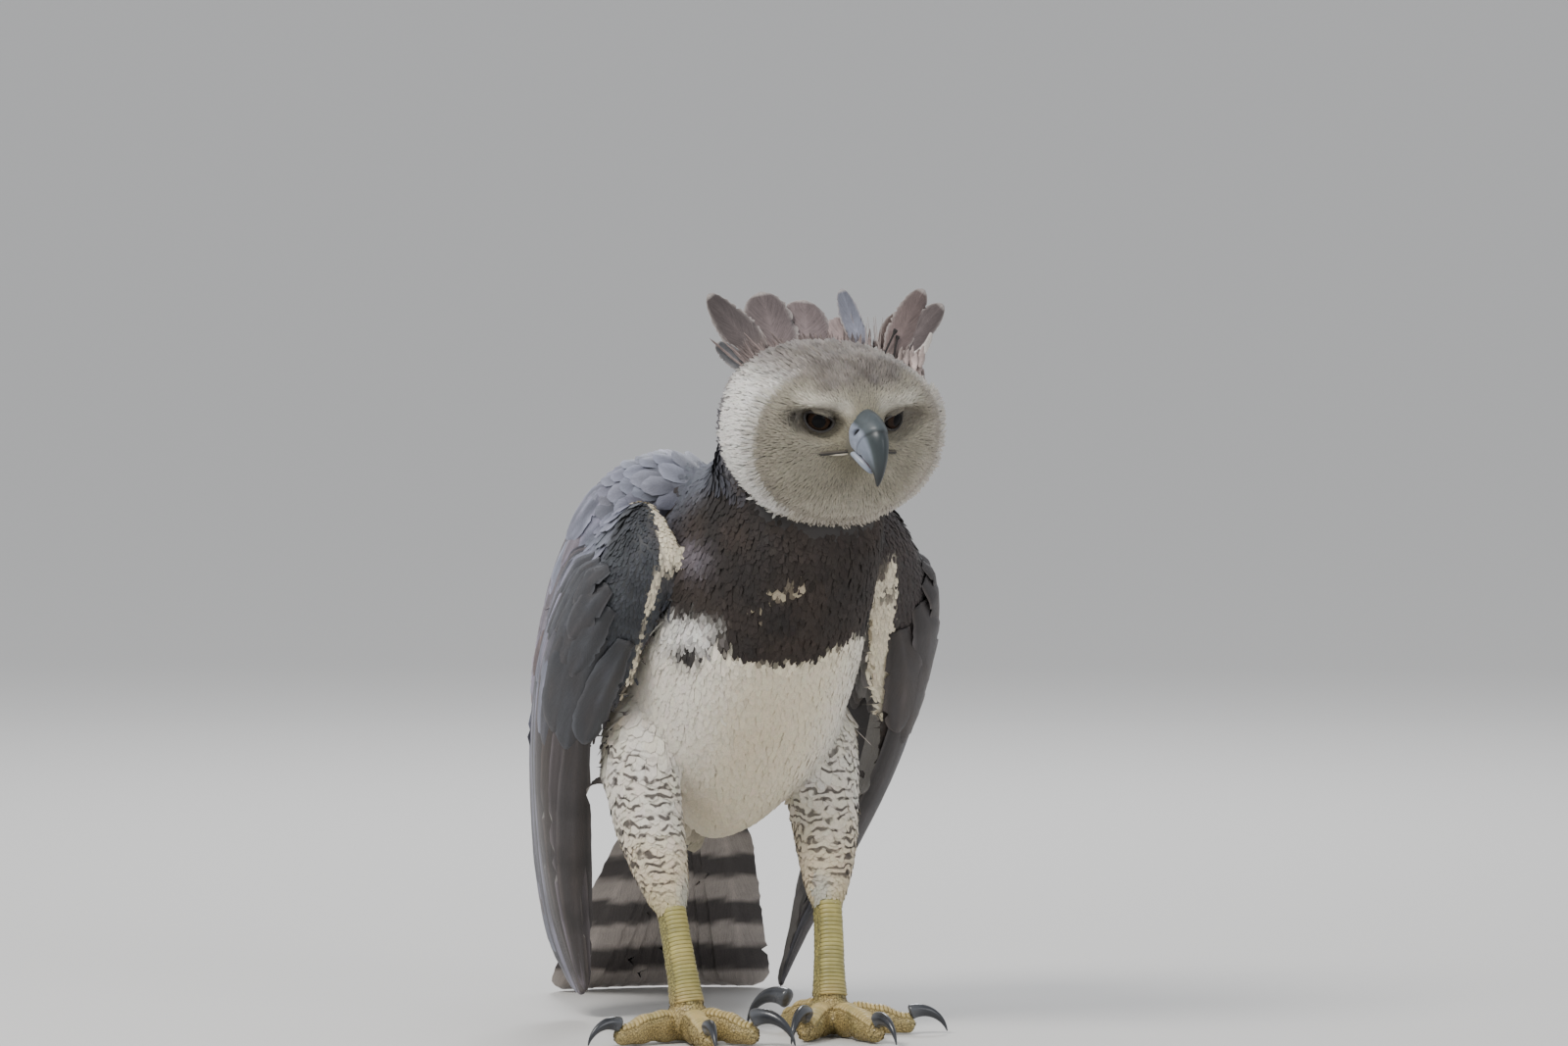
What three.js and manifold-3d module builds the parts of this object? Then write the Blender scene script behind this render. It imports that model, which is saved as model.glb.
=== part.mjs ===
// Harpy eagle, adult, life size: standing, hunched forward, wings drooped a little away from
// the body, head turned to its left, facial ruff and crest raised, tail laid on the ground.
// Millimetres. +Z up, the bird faces -Y, its right side is -X, its soles are at Z = 0.
import * as THREE from "three";
import { mergeVertices } from "three/addons/utils/BufferGeometryUtils.js";
import Module from "manifold-3d";

const wasm = await Module();
wasm.setup();

// ---------- driving dimensions ----------
const GAP = 0.35; // clearance between neighbouring nodes
const ORIGIN_Y = 109.4; // the part's origin is under the middle of its length, this far behind the feet
const TARSUS_RADIUS = 16;
const HEAD_AT = [10, -160, 577]; // middle of the feathered head
const HEAD_YAW = 6; // degrees to the bird's left
const HEAD_PITCH = 12; // degrees down
const HEAD_HALF_WIDTH = 108; // with the raised ruff
const EYE_RADIUS = 15;
const EYE_AT = [34, -40, 23]; // in the head's own frame, mirrored
const TAIL_BASE = [4, 196, 232];
const TAIL_LENGTH = 372;
const TAIL_YAW = 12; // degrees, tip swung to the bird's left
const TAIL_FEATHERS = 12;
const TAIL_FAN = 13; // degrees, outermost feather from the middle line
const TAIL_FEATHER_WIDTH = 54;
const FLIGHT_FEATHERS = 9; // per wing, seen below the coverts
const BLADE = 3.2; // thickness of a flight feather's solid

// ---------- small tools ----------
const V = (x, y, z) => new THREE.Vector3(x, y, z);
const rad = THREE.MathUtils.degToRad;
const { lerp, clamp, smoothstep } = THREE.MathUtils;

// Smooth interpolation of a table of stations: one row of numbers per station, spread evenly
// over 0..1 unless the first column holds the places.
function along(rows, t, places) {
  const n = rows.length - 1;
  let i, f;
  if (places) {
    i = 0;
    while (i < n - 1 && t > places[i + 1]) i++;
    f = clamp((t - places[i]) / (places[i + 1] - places[i]), 0, 1);
  } else {
    i = clamp(Math.floor(t * n), 0, n - 1);
    f = clamp(t * n - i, 0, 1);
  }
  const r = (k) => rows[clamp(k, 0, n)];
  return r(i).map((_, c) => {
    const [p0, p1, p2, p3] = [r(i - 1)[c], r(i)[c], r(i + 1)[c], r(i + 2)[c]];
    const m1 = (p2 - p0) / 2, m2 = (p3 - p1) / 2, f2 = f * f, f3 = f2 * f;
    return (2 * f3 - 3 * f2 + 1) * p1 + (f3 - 2 * f2 + f) * m1 +
      (3 * f2 - 2 * f3) * p2 + (f3 - f2) * m2;
  });
}

function solid(geometry) {
  const g = geometry.clone();
  g.deleteAttribute("normal");
  g.deleteAttribute("uv");
  const m = mergeVertices(g, 1e-4);
  const made = new wasm.Manifold(new wasm.Mesh({
    numProp: 3,
    vertProperties: new Float32Array(m.attributes.position.array),
    triVerts: new Uint32Array(m.index.array),
  }));
  if (made.volume() < 0) throw new Error("inside out");
  return made;
}

// A closed body with two poles: a sphere whose poles lie at the ends of a line, each ring of
// it moved by place(t, angle), t from 0 to 1 between the poles.
function body(around, rings, place) {
  const g = new THREE.SphereGeometry(1, around, rings);
  const p = g.attributes.position, uv = g.attributes.uv;
  for (let i = 0; i < p.count; i++) {
    const row = Math.floor(i / (around + 1)), col = (i % (around + 1)) % around;
    const q = place(row / rings, (col / around) * 2 * Math.PI, uv);
    p.setXYZ(i, q.x, q.y, q.z);
  }
  return g;
}

// Positive volume whichever way the rings run.
function shut(g) {
  try {
    return solid(g);
  } catch (e) {
    if (!String(e.message || e).includes("inside out")) throw e;
    const f = g.toNonIndexed(), p = f.attributes.position;
    for (let i = 0; i < p.count; i += 3) {
      const a = V().fromBufferAttribute(p, i + 1), b = V().fromBufferAttribute(p, i + 2);
      p.setXYZ(i + 1, b.x, b.y, b.z);
      p.setXYZ(i + 2, a.x, a.y, a.z);
    }
    return solid(f);
  }
}

// Rounded end: how much of a ring's size is left near a pole.
const dome = (t, cap = 0.12) => Math.sqrt(clamp(1 - Math.pow(clamp(1 - Math.min(t, 1 - t) / cap, 0, 1), 2), 0, 1));

// A limb-like body along a line in space. Stations: x, y, z, half width, upper and lower depth.
function limb(stations, { around = 16, rings = 14, grow = 0, cap = 0.12, side = V(1, 0, 0), power = 2, spread = (t) => t } = {}) {
  return body(around, rings, (row, a) => {
    const t = spread(row);
    const s = along(stations, t), e = 1e-3;
    const s0 = along(stations, Math.max(0, t - e)), s1 = along(stations, Math.min(1, t + e));
    const tangent = V(s1[0] - s0[0], s1[1] - s0[1], s1[2] - s0[2]).normalize();
    const up = V().crossVectors(tangent, side).normalize();
    const across = V().crossVectors(up, tangent).normalize();
    const d = dome(row, cap), c = Math.cos(a), n = Math.sin(a);
    const round = Math.pow(Math.pow(Math.abs(c), power) + Math.pow(Math.abs(n), power), -1 / power);
    const deep = (c > 0 ? s[4] : s[5]) + grow, wide = s[3] + grow;
    return V(s[0], s[1], s[2])
      .addScaledVector(up, d * deep * c * round)
      .addScaledVector(across, d * wide * n * round)
      .addScaledVector(tangent, grow * (row < 1e-6 ? -1 : row > 1 - 1e-6 ? 1 : 0));
  });
}

const biggest = (m) => m.decompose().reduce((a, b) => (b.volume() > a.volume() ? b : a));
const floorCut = (() => {
  const g = new THREE.BoxGeometry(2000, 2000, 400).translate(0, 0, -200);
  return solid(g);
})();

// A thin or thick slab as a cutter: everything on the far side of a plane.
function halfSpace(point, normal, offset = 0) {
  const g = new THREE.BoxGeometry(1600, 1600, 900).translate(0, 0, 450 + offset);
  const q = new THREE.Quaternion().setFromUnitVectors(V(0, 0, 1), normal.clone().normalize());
  g.applyQuaternion(q).translate(point.x, point.y, point.z);
  return solid(g);
}

// ---------- head ----------
const headTurn = new THREE.Matrix4().makeRotationZ(rad(HEAD_YAW));
const headTilt = new THREE.Matrix4().makeRotationX(rad(HEAD_PITCH));
const headFrame = new THREE.Matrix4().makeTranslation(...HEAD_AT).multiply(headTurn).multiply(headTilt);
const crestFrame = new THREE.Matrix4().makeTranslation(...HEAD_AT).multiply(headTurn);

// Stations from the bill's root to the nape: place along the head, middle height, half width,
// height above and depth below.
const HEAD_STATIONS = [
  [-80, 13, 14, 15, 13],
  [-71, 13, 20, 24, 21],
  [-63, 12, 28, 32, 32],
  [-57, 9, 42, 41, 46],
  [-52, 5, 62, 52, 60],
  [-46, 2, 81, 62, 71],
  [-36, 0, 97, 72, 79],
  [-14, 0, 106, 78, 83],
  [16, 0, HEAD_HALF_WIDTH - 2, 80, 82],
  [46, 0, 96, 76, 72],
  [70, 0, 76, 62, 56],
  [87, 0, 48, 42, 36],
];
function headShape(grow = 0) {
  const g = body(20, 11, (row, a) => {
    const s = along(HEAD_STATIONS, Math.pow(row, 0.94));
    const d = dome(row, 0.1), c = Math.cos(a), n = Math.sin(a);
    // the ruff stands out as a rim round the face, and the face is hollowed a little inside it
    const rim = Math.exp(-Math.pow((s[0] + 26) / 12, 2)) * 3;
    const power = c > 0 ? 2.35 : 2.1;
    const round = Math.pow(Math.pow(Math.abs(c), power) + Math.pow(Math.abs(n), power), -1 / power);
    return V((s[2] + rim + grow) * d * n * round, s[0] - (row < 0.01 ? 3 + grow : row > 0.99 ? -8 - grow : 0),
      s[1] + ((c > 0 ? s[3] : s[4]) + rim * 0.7 + grow) * d * c * round);
  });
  return shut(g.applyMatrix4(headFrame));
}
function ball(centre, radii, turn = [0, 0, 0], frame = headFrame, around = 8, rings = 5) {
  const g = new THREE.SphereGeometry(1, around, rings).scale(...radii);
  g.rotateX(rad(turn[0])).rotateY(rad(turn[1])).rotateZ(rad(turn[2]));
  return shut(g.translate(...centre).applyMatrix4(frame));
}
const eye = (side, grow = 0) =>
  ball([side * EYE_AT[0], EYE_AT[1], EYE_AT[2]], [1, 1, 1].map(() => EYE_RADIUS + grow), [0, 0, 0], headFrame, 10, 7);

// Upper bill with its cere: middle line in the head's frame, y and z, then half width and half
// depth, from inside the face to the hooked tip.
const BILL_UPPER = [
  [0, -48, 15, 16, 17, 15],
  [0, -62, 16.5, 17, 19.5, 17],
  [0, -76, 16, 16, 20, 18],
  [0, -90, 11, 12.5, 17.5, 15.5],
  [0, -100, 0, 8.5, 11.5, 9.5],
  [0, -104, -14, 4.2, 6, 5],
  [0, -103, -27, 1.4, 1.8, 1.4],
];
const BILL_LOWER = [
  [0, -44, -5, 14, 7, 9],
  [0, -60, -7, 14, 6, 9],
  [0, -74, -7.5, 11.5, 6, 8],
  [0, -86, -9, 7, 6, 5],
  [0, -92, -9.5, 2.5, 3, 2.5],
];
const billUpper = (grow = 0) =>
  shut(limb(BILL_UPPER, { around: 12, rings: 10, grow, cap: 0.1, power: 2.1 }).applyMatrix4(headFrame));
const billLower = (grow = 0) =>
  shut(limb(BILL_LOWER, { around: 8, rings: 6, grow, cap: 0.16 }).applyMatrix4(headFrame));

// A single broad feather as a thin curved plate. from, to: its ends. up: its upper face's side.
// bend: how far its middle stands off the straight line. profile: width along it, 0..1.
function plume(from, to, { width, thick, up, bend = 0, sweep = 0, profile, lengths = 6, widths = 2, camber = 0.1 }) {
  const g = new THREE.BoxGeometry(1, 1, 1, widths, 1, lengths);
  const p = g.attributes.position;
  const axis = V().subVectors(to, from), across = V().crossVectors(axis, up).normalize();
  const face = V().crossVectors(across, axis).normalize();
  for (let i = 0; i < p.count; i++) {
    const s = p.getZ(i) + 0.5, w = p.getX(i), h = p.getY(i);
    const half = width * profile(s), arch = 4 * s * (1 - s);
    const q = from.clone().addScaledVector(axis, s)
      .addScaledVector(face, bend * arch - camber * Math.abs(w) * 2 * half + h * thick)
      .addScaledVector(across, w * half + sweep * arch);
    p.setXYZ(i, q.x, q.y, q.z);
  }
  return shut(g);
}
const roundTip = (s) => Math.max(0.16, Math.sqrt(clamp(1 - Math.pow(clamp((s - 0.72) / 0.29, 0, 1), 2.2), 0, 1))) * lerp(0.55, 1, smoothstep(s, 0, 0.45));
const pointTip = (s) => Math.max(0.12, Math.sqrt(clamp(1 - Math.pow(clamp((s - 0.45) / 0.56, 0, 1), 2), 0, 1))) * lerp(0.5, 1, smoothstep(s, 0, 0.35));

// Crest feathers, in the head's turned frame: root x, root y, root z, tip x, tip y, tip z, width.
const CREST = [
  [-70, 26, 56, -93, 50, 80, 15],
  [-46, 36, 68, -82, 80, 120, 25],
  [-38, 38, 70, -26, 84, 117, 31],
  [-9, 40, 72, 11, 80, 109, 37],
  [30, 40, 72, 45, 70, 94, 29],
  [53, 36, 70, 48, 70, 118, 17],
  [84, 24, 60, 117, 50, 118, 26],
  [84, 30, 58, 131, 42, 104, 23],
];
const CREST_BASE = 5; // thickness of the feathered cap that carries the crest

function crestSolid() {
  let all = headShape(CREST_BASE).intersect(ball([10, 42, 74], [98, 30, 34], [0, 0, 0], crestFrame, 8, 5));
  for (const [x, y, z, tx, ty, tz, w] of CREST) {
    const from = V(x, y, z - 4).applyMatrix4(crestFrame), to = V(tx, ty, tz).applyMatrix4(crestFrame);
    all = all.add(plume(from, to, {
      width: w, thick: 3, up: V(0.05, 1, 0.35), bend: 4,
      profile: w < 18 ? pointTip : roundTip, lengths: 3, widths: 1,
    }));
  }
  return all;
}

// ---------- trunk and neck ----------
// Stations along the trunk from the breast to the tail's root: y, z of its middle line, half
// width, height above and depth below it.
const TRUNK = [
  [0, -138, 548, 60, 48, 62],
  [0, -109, 515, 84, 74, 90],
  [0, -58, 467, 96, 118, 108],
  [0, -8, 419, 104, 142, 116],
  [0, 43, 371, 112, 142, 122],
  [0, 94, 322, 109, 118, 126],
  [0, 142, 277, 88, 86, 122],
  [0, 182, 240, 56, 46, 92],
  [0, 208, 218, 28, 18, 54],
];
// Shoulder feathers: a long mound on each side of the back that covers the wing's root and
// runs down along its rear edge. x outwards, y, z, half width, upper and lower depth.
const CAPE = [
  [50, 6, 518, 34, 22, 26],
  [63, 52, 513, 50, 34, 38],
  [75, 104, 494, 57, 38, 43],
  [91, 148, 451, 54, 32, 36],
  [110, 180, 392, 44, 22, 24],
  [127, 202, 326, 29, 11, 12],
  [140, 214, 268, 12, 4, 5],
];
function trunkShape(grow = 0) {
  const g = body(20, 13, (row, a) => {
    const t = row, s = along(TRUNK, t), e = 1e-3;
    const s0 = along(TRUNK, Math.max(0, t - e)), s1 = along(TRUNK, Math.min(1, t + e));
    const tangent = V(0, s1[1] - s0[1], s1[2] - s0[2]).normalize();
    const up = V().crossVectors(V(1, 0, 0), tangent).normalize();
    if (up.z < 0) up.negate();
    const d = dome(row, 0.1), c = Math.cos(a), n = Math.sin(a);
    const power = c > 0 ? 2.3 : lerp(2.15, 1.55, smoothstep(t, 0.55, 0.9));
    const round = Math.pow(Math.pow(Math.abs(c), power) + Math.pow(Math.abs(n), power), -1 / power);
    const deep = (c > 0 ? s[4] : s[5]) + grow, wide = s[3] + grow;
    return V(0, s[1], s[2]).addScaledVector(up, d * deep * round * c)
      .addScaledVector(V(1, 0, 0), d * wide * round * n);
  });
  return shut(g);
}
const NECK = [
  [0, -52, 500, 70, 60, 60],
  [1, -78, 528, 84, 62, 74],
  [4, -108, 552, 88, 60, 74],
  [8, -140, 572, 76, 50, 60],
  [10, -165, 585, 40, 30, 34],
];
const neckShape = (grow = 0) => shut(limb(NECK, { around: 16, rings: 6, cap: 0.22, grow }));

// ---------- wings ----------
// Leading and trailing edge of the drooped wing from the shoulder to the tip, and how far its
// outer face bulges between them: x (outwards), y, z.
const WING_LEAD = [
  [104, -22, 506], [94, -54, 464], [96, -34, 416], [104, 6, 360], [112, 44, 298],
  [118, 84, 228], [115, 138, 154], [106, 186, 88], [97, 214, 28],
];
const WING_TRAIL = [
  [104, 96, 500], [122, 136, 476], [139, 164, 430], [148, 188, 368], [152, 208, 298],
  [147, 228, 224], [138, 240, 146], [122, 243, 76], [101, 234, 22],
];
const WING_BULGE = [[30], [52], [68], [72], [62], [44], [25], [11], [3]];
const WING_DEPTH = [[60], [66], [58], [42], [24], [13], [10], [4], [3]];
const COVERTS_END = 0.66; // how far down the wing the covert body reaches
const TILT = 2.1; // each flight feather overlaps its neighbour like a roof tile

function wingPoint(u, v) {
  const lead = along(WING_LEAD, v), trail = along(WING_TRAIL, v);
  const a = V(...lead), b = V(...trail);
  const chord = V().subVectors(b, a).setZ(0).normalize();
  const out = V(chord.y, -chord.x, 0);
  const over = u > 1 ? u - 1 : u < 0 ? u : 0, q = clamp(u, 0, 1);
  return a.clone().lerp(b, q).addScaledVector(V().subVectors(b, a), over)
    .addScaledVector(out, along(WING_BULGE, v)[0] * Math.sin(Math.PI * Math.pow(q, 0.55)));
}
function wingNormal(u, v) {
  const e = 0.02;
  const du = V().subVectors(wingPoint(clamp(u + e, 0, 1), v), wingPoint(clamp(u - e, 0, 1), v));
  const dv = V().subVectors(wingPoint(u, clamp(v + e, 0, 1)), wingPoint(u, clamp(v - e, 0, 1)));
  return V().crossVectors(dv, du).normalize();
}
function wingShape(side) {
  const across = 6, down = 9, cap = 0.18;
  // closed sleeve: half of each ring is the outer face, the other half the inner one
  const g = body(2 * across, down, (row, a) => {
    const v = row * COVERTS_END, k = a / Math.PI; // 0..1 outer, 1..2 inner
    const outer = k <= 1, u = outer ? k : 2 - k;
    const edge = Math.sqrt(clamp(1 - Math.pow(2 * u - 1, 6), 0, 1));
    const deep = along(WING_DEPTH, v)[0], n = wingNormal(clamp(u, 0.04, 0.96), v);
    const p = wingPoint(u, v).addScaledVector(n, outer ? 0 : -deep * edge - 0.5);
    const heart = wingPoint(0.45, v).addScaledVector(wingNormal(0.45, v), -deep * 0.5);
    const left = row < 0.5 ? dome(row, cap) : dome(row, 0.1);
    return heart.lerp(p, left).add(V(0, 0, row < cap ? 14 * (1 - row / cap) : 0));
  });
  g.scale(side, 1, 1);
  return shut(g);
}
function flightFeathers(side) {
  let all = null;
  for (let k = 0; k < FLIGHT_FEATHERS; k++) {
    const f = k / (FLIGHT_FEATHERS - 1); // 0: outermost primary, 1: innermost tertial
    const root = [lerp(0.1, 0.82, Math.pow(f, 0.9)), lerp(0.44, 0.34, f)];
    const tip = [
      lerp(0.12, 1.0, smoothstep(f, 0, 0.45)),
      f < 0.3 ? lerp(0.985, 1.02, f / 0.3) : lerp(1.02, 0.6, (f - 0.3) / 0.7),
    ];
    const steps = 2, g = new THREE.BoxGeometry(1, 1, 1, 1, 1, steps), p = g.attributes.position;
    const at = (s) => {
      const u = lerp(root[0], tip[0], s), v = lerp(root[1], tip[1], s);
      return wingPoint(u, Math.min(v, 1)).addScaledVector(V(0, 4, -66), Math.max(0, v - 1));
    };
    const width = lerp(36, 58, smoothstep(f, 0, 0.4));
    for (let i = 0; i < p.count; i++) {
      const s = Math.pow(p.getZ(i) + 0.5, 0.8), w = p.getX(i), h = p.getY(i);
      const c = at(s), e = 0.02, t = V().subVectors(at(Math.min(1, s + e)), at(Math.max(0, s - e))).normalize();
      const u = clamp(lerp(root[0], tip[0], s), 0.05, 0.95), v = clamp(lerp(root[1], tip[1], s), 0, 0.97);
      const n = wingNormal(u, v), x = V().crossVectors(n, t).normalize();
      const half = width * roundTip(s);
      c.addScaledVector(x, w * half)
        .addScaledVector(n, h * BLADE - lerp(8, 2, smoothstep(s, 0, 0.6)) + w * 2 * TILT * (half / width));
      p.setXYZ(i, c.x * side, c.y, c.z);
    }
    const blade = shut(g);
    all = all ? all.add(blade) : blade;
  }
  return all;
}

const cape = (side) => shut(limb(CAPE.map(([x, ...r]) => [side * x, ...r]), {
  around: 10, rings: 8, cap: 0.2, side: V(1, side * -0.3, side * 0.25),
}));

// ---------- tail ----------
function tailSolid() {
  const base = V(...TAIL_BASE), slope = Math.asin((TAIL_BASE[2] - 3) / TAIL_LENGTH);
  const root = ball([0, 0, 0], [44, 66, 15], [-36, 0, 0],
    new THREE.Matrix4().makeTranslation(TAIL_BASE[0] + 3, TAIL_BASE[1] + 36, TAIL_BASE[2] - 26), 12, 6);
  let all = root;
  for (let k = 0; k < TAIL_FEATHERS; k++) {
    const f = (2 * k) / (TAIL_FEATHERS - 1) - 1; // -1..1 from right to left
    const turn = rad(TAIL_YAW - f * TAIL_FAN * -1), reach = TAIL_LENGTH * (1 - 0.035 * f * f);
    const flat = reach * Math.cos(slope);
    const from = base.clone().add(V(f * 24, 4, -2 - 6 * f * f));
    const to = V(TAIL_BASE[0] + f * 24 + flat * Math.sin(turn), TAIL_BASE[1] + flat * Math.cos(turn), 0.4);
    all = all.add(plume(from, to, {
      width: TAIL_FEATHER_WIDTH, thick: BLADE, up: V(0, 0.4, 1), bend: 7 - 3 * Math.abs(f), camber: 0.03,
      profile: (s) => Math.max(0.3, roundTip(s)), lengths: 2, widths: 1,
    }).translate([0, 0, 0.8 * (1 - Math.abs(f))]));
  }
  return all.subtract(floorCut);
}

// ---------- legs ----------
const FOOT_AT = { 1: [69, 2], [-1]: [-77, -10] }; // foot centres, x and y
const THIGH = (side) => {
  const x = (d) => FOOT_AT[side][0] + side * d, y = (d) => FOOT_AT[side][1] + d;
  return [
    [x(10), y(92), 330, 38, 48, 50],
    [x(18), y(82), 270, 40, 52, 54],
    [x(18), y(66), 215, 37, 46, 47],
    [x(14), y(47), 172, 33, 38, 38],
    [x(9), y(33), 137, 27, 28, 28],
    [x(6), y(25), 114, 21, 21, 21],
  ];
};
const TARSUS = (side) => {
  const x = (d) => FOOT_AT[side][0] + side * d, y = (d) => FOOT_AT[side][1] + d;
  return [
    [x(9), y(38), 168, 14, 15, 15],
    [x(7.5), y(28), 130, 14, 15, 15],
    [x(5), y(17), 92, TARSUS_RADIUS - 1.5, TARSUS_RADIUS, TARSUS_RADIUS - 1],
    [x(2), y(7), 58, TARSUS_RADIUS - 0.5, TARSUS_RADIUS, TARSUS_RADIUS],
    [x(0), y(0), 30, TARSUS_RADIUS + 2, TARSUS_RADIUS + 2, TARSUS_RADIUS + 2],
  ];
};
const thigh = (side, grow = 0) => shut(limb(THIGH(side), { around: 14, rings: 8, grow, cap: 0.2 }));
const endsFuller = (t) => 0.5 - 0.5 * Math.cos(Math.PI * t);
const tarsus = (side, grow = 0) => shut(limb(TARSUS(side), { around: 11, rings: 6, grow, cap: 0.1, spread: endsFuller }));

// Toes: name, heading in degrees from straight ahead towards the bird's outer side, length of
// the toe, root radius, length of the claw along its curve, claw root radius.
const TOES = [
  ["middle", 8, 96, 13.5, 50, 8],
  ["inner", -38, 76, 13.5, 60, 9],
  ["outer", 76, 80, 12.5, 46, 7.5],
  ["hind", 206, 58, 14, 70, 10],
];
function toeLine(side, heading, length) {
  const a = rad(heading), dir = V(side * Math.sin(a), -Math.cos(a), 0);
  return { dir, from: V(...FOOT_AT[side], 0), length };
}
function toe(side, [, heading, length, radius], grow = 0) {
  const { dir, from } = toeLine(side, heading, length);
  const rows = [0, 0.2, 0.4, 0.6, 0.8, 1].map((t) => {
    const r = radius * lerp(1, 0.78, t), arch = 8 * Math.sin(Math.PI * Math.min(1, t * 1.15));
    const c = from.clone().addScaledVector(dir, length * t);
    return [c.x, c.y, r * 0.9 + arch * (t < 0.85 ? 1 : 0.4), r, r, r * (t > 0.1 ? 1.13 : 1.06) + (t > 0.15 && t < 0.95 ? arch * 0.75 : 0)];
  });
  const across = V().crossVectors(V(0, 0, 1), dir).normalize();
  return shut(body(8, 6, (row, a) => {
    const s = along(rows, endsFuller(row)), d = dome(row, 0.12);
    const knuckle = 1 + 0.07 * Math.cos(row * Math.PI * 6);
    const c = Math.cos(a + Math.PI / 8), n = Math.sin(a + Math.PI / 8); // a flat side down, as its pads lie
    return V(s[0], s[1], s[2]).addScaledVector(across, (s[3] * knuckle + grow) * d * n)
      .addScaledVector(V(0, 0, 1), ((c > 0 ? s[4] : s[5]) * knuckle + grow) * d * c)
      .addScaledVector(dir, (row < 1e-6 ? -1 : row > 1 - 1e-6 ? 1 : 0) * (2 + grow));
  }));
}
function claw(side, [, heading, length, radius, reach, thick], grow = 0) {
  const { dir, from } = toeLine(side, heading, length);
  const start = from.clone().addScaledVector(dir, length - 5), sweep = 1.75, bow = reach / sweep;
  const rows = [0, 0.2, 0.4, 0.6, 0.8, 1].map((t) => {
    const a = 0.42 - sweep * t; // heading of the claw above or below level
    const x = bow * (Math.sin(0.42) - Math.sin(a)), z = bow * (Math.cos(a) - Math.cos(0.42));
    const c = start.clone().addScaledVector(dir, x);
    const r = thick * (1 - 0.9 * Math.pow(t, 1.15));
    return [c.x, c.y, radius * 0.78 + 4 + z, r * 0.8, r, r];
  });
  const lowest = Math.min(...rows.map((r) => r[2] - r[5]));
  if (lowest < 1) rows.forEach((r, i) => (r[2] += (1 - lowest) * Math.pow(i / 5, 0.8)));
  const across = V().crossVectors(V(0, 0, 1), dir).normalize();
  return shut(limb(rows, { around: 6, rings: 5, grow, cap: 0.14, side: across }));
}
function foot(side) {
  let all = ball([...FOOT_AT[side], 19], [23, 24, 20], [0, 0, 0], new THREE.Matrix4(), 9, 5);
  for (const t of TOES) all = all.add(toe(side, t));
  for (const t of TOES) all = all.subtract(claw(side, t, GAP));
  return biggest(all.subtract(tarsus(side, GAP)).subtract(floorCut));
}

// ---------- putting it together and parting it with thin cuts ----------
const LEFT = 1, RIGHT = -1;
const eyes = [eye(LEFT), eye(RIGHT)];
const upper = billUpper();
const lower = biggest(billLower().subtract(billUpper(GAP)));

// brow ridges shade the eyes, sockets hold them
let headWhole = headShape();
for (const side of [LEFT, RIGHT]) {
  headWhole = headWhole
    .add(ball([side * 33, -51, 41], [23, 11, 6.5], [0, -side * 14, side * 14]))
    .subtract(ball([side * 37, -58, 26], [17, 11, 11.5], [0, -side * 8, side * 24]))
    .subtract(eye(side, GAP));
}
headWhole = headWhole.subtract(billUpper(GAP)).subtract(billLower(GAP));
headWhole = biggest(headWhole);

const neckTop = V(0, -70, 544), neckTopWay = V(0, -0.36, 0.93);
const neckFoot = V(0, -100, 502), neckFootWay = V(0, -0.75, 0.66);
const aboveNeck = halfSpace(neckTop, neckTopWay, GAP), notAboveNeck = halfSpace(neckTop, neckTopWay, 0);
const aboveTrunk = halfSpace(neckFoot, neckFootWay, GAP), notAboveTrunk = halfSpace(neckFoot, neckFootWay, 0);

const crestRaw = crestSolid();
const fleshy = trunkShape().add(neckShape());
const flesh = fleshy.add(headWhole).subtract(eye(LEFT, GAP)).subtract(eye(RIGHT, GAP))
  .subtract(billUpper(GAP)).subtract(billLower(GAP));

const head = biggest(flesh.intersect(aboveNeck));
const crest = biggest(crestRaw.subtract(headShape(GAP)).subtract(trunkShape(GAP)));
const neck = biggest(flesh.subtract(notAboveNeck).intersect(aboveTrunk));

const tail = biggest(tailSolid());
const legs = [LEFT, RIGHT].map((side) => ({
  side,
  thigh: biggest(thigh(side).subtract(tarsus(side, GAP))),
  tarsus: tarsus(side),
  foot: foot(side),
}));
const tailRoom = shut(limb([
  [TAIL_BASE[0], TAIL_BASE[1] - 24, TAIL_BASE[2] + 16, 54, 15, 15],
  [TAIL_BASE[0] + 4, TAIL_BASE[1] + 30, TAIL_BASE[2] - 20, 56, 18, 18],
  [TAIL_BASE[0] + 10, TAIL_BASE[1] + 90, TAIL_BASE[2] - 60, 60, 22, 22],
], { around: 20, rings: 8, cap: 0.2 }));
let trunk = flesh.subtract(notAboveTrunk).subtract(notAboveNeck).subtract(tailRoom);
for (const side of [LEFT, RIGHT]) trunk = trunk.subtract(thigh(side, GAP));
trunk = biggest(trunk);

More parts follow.
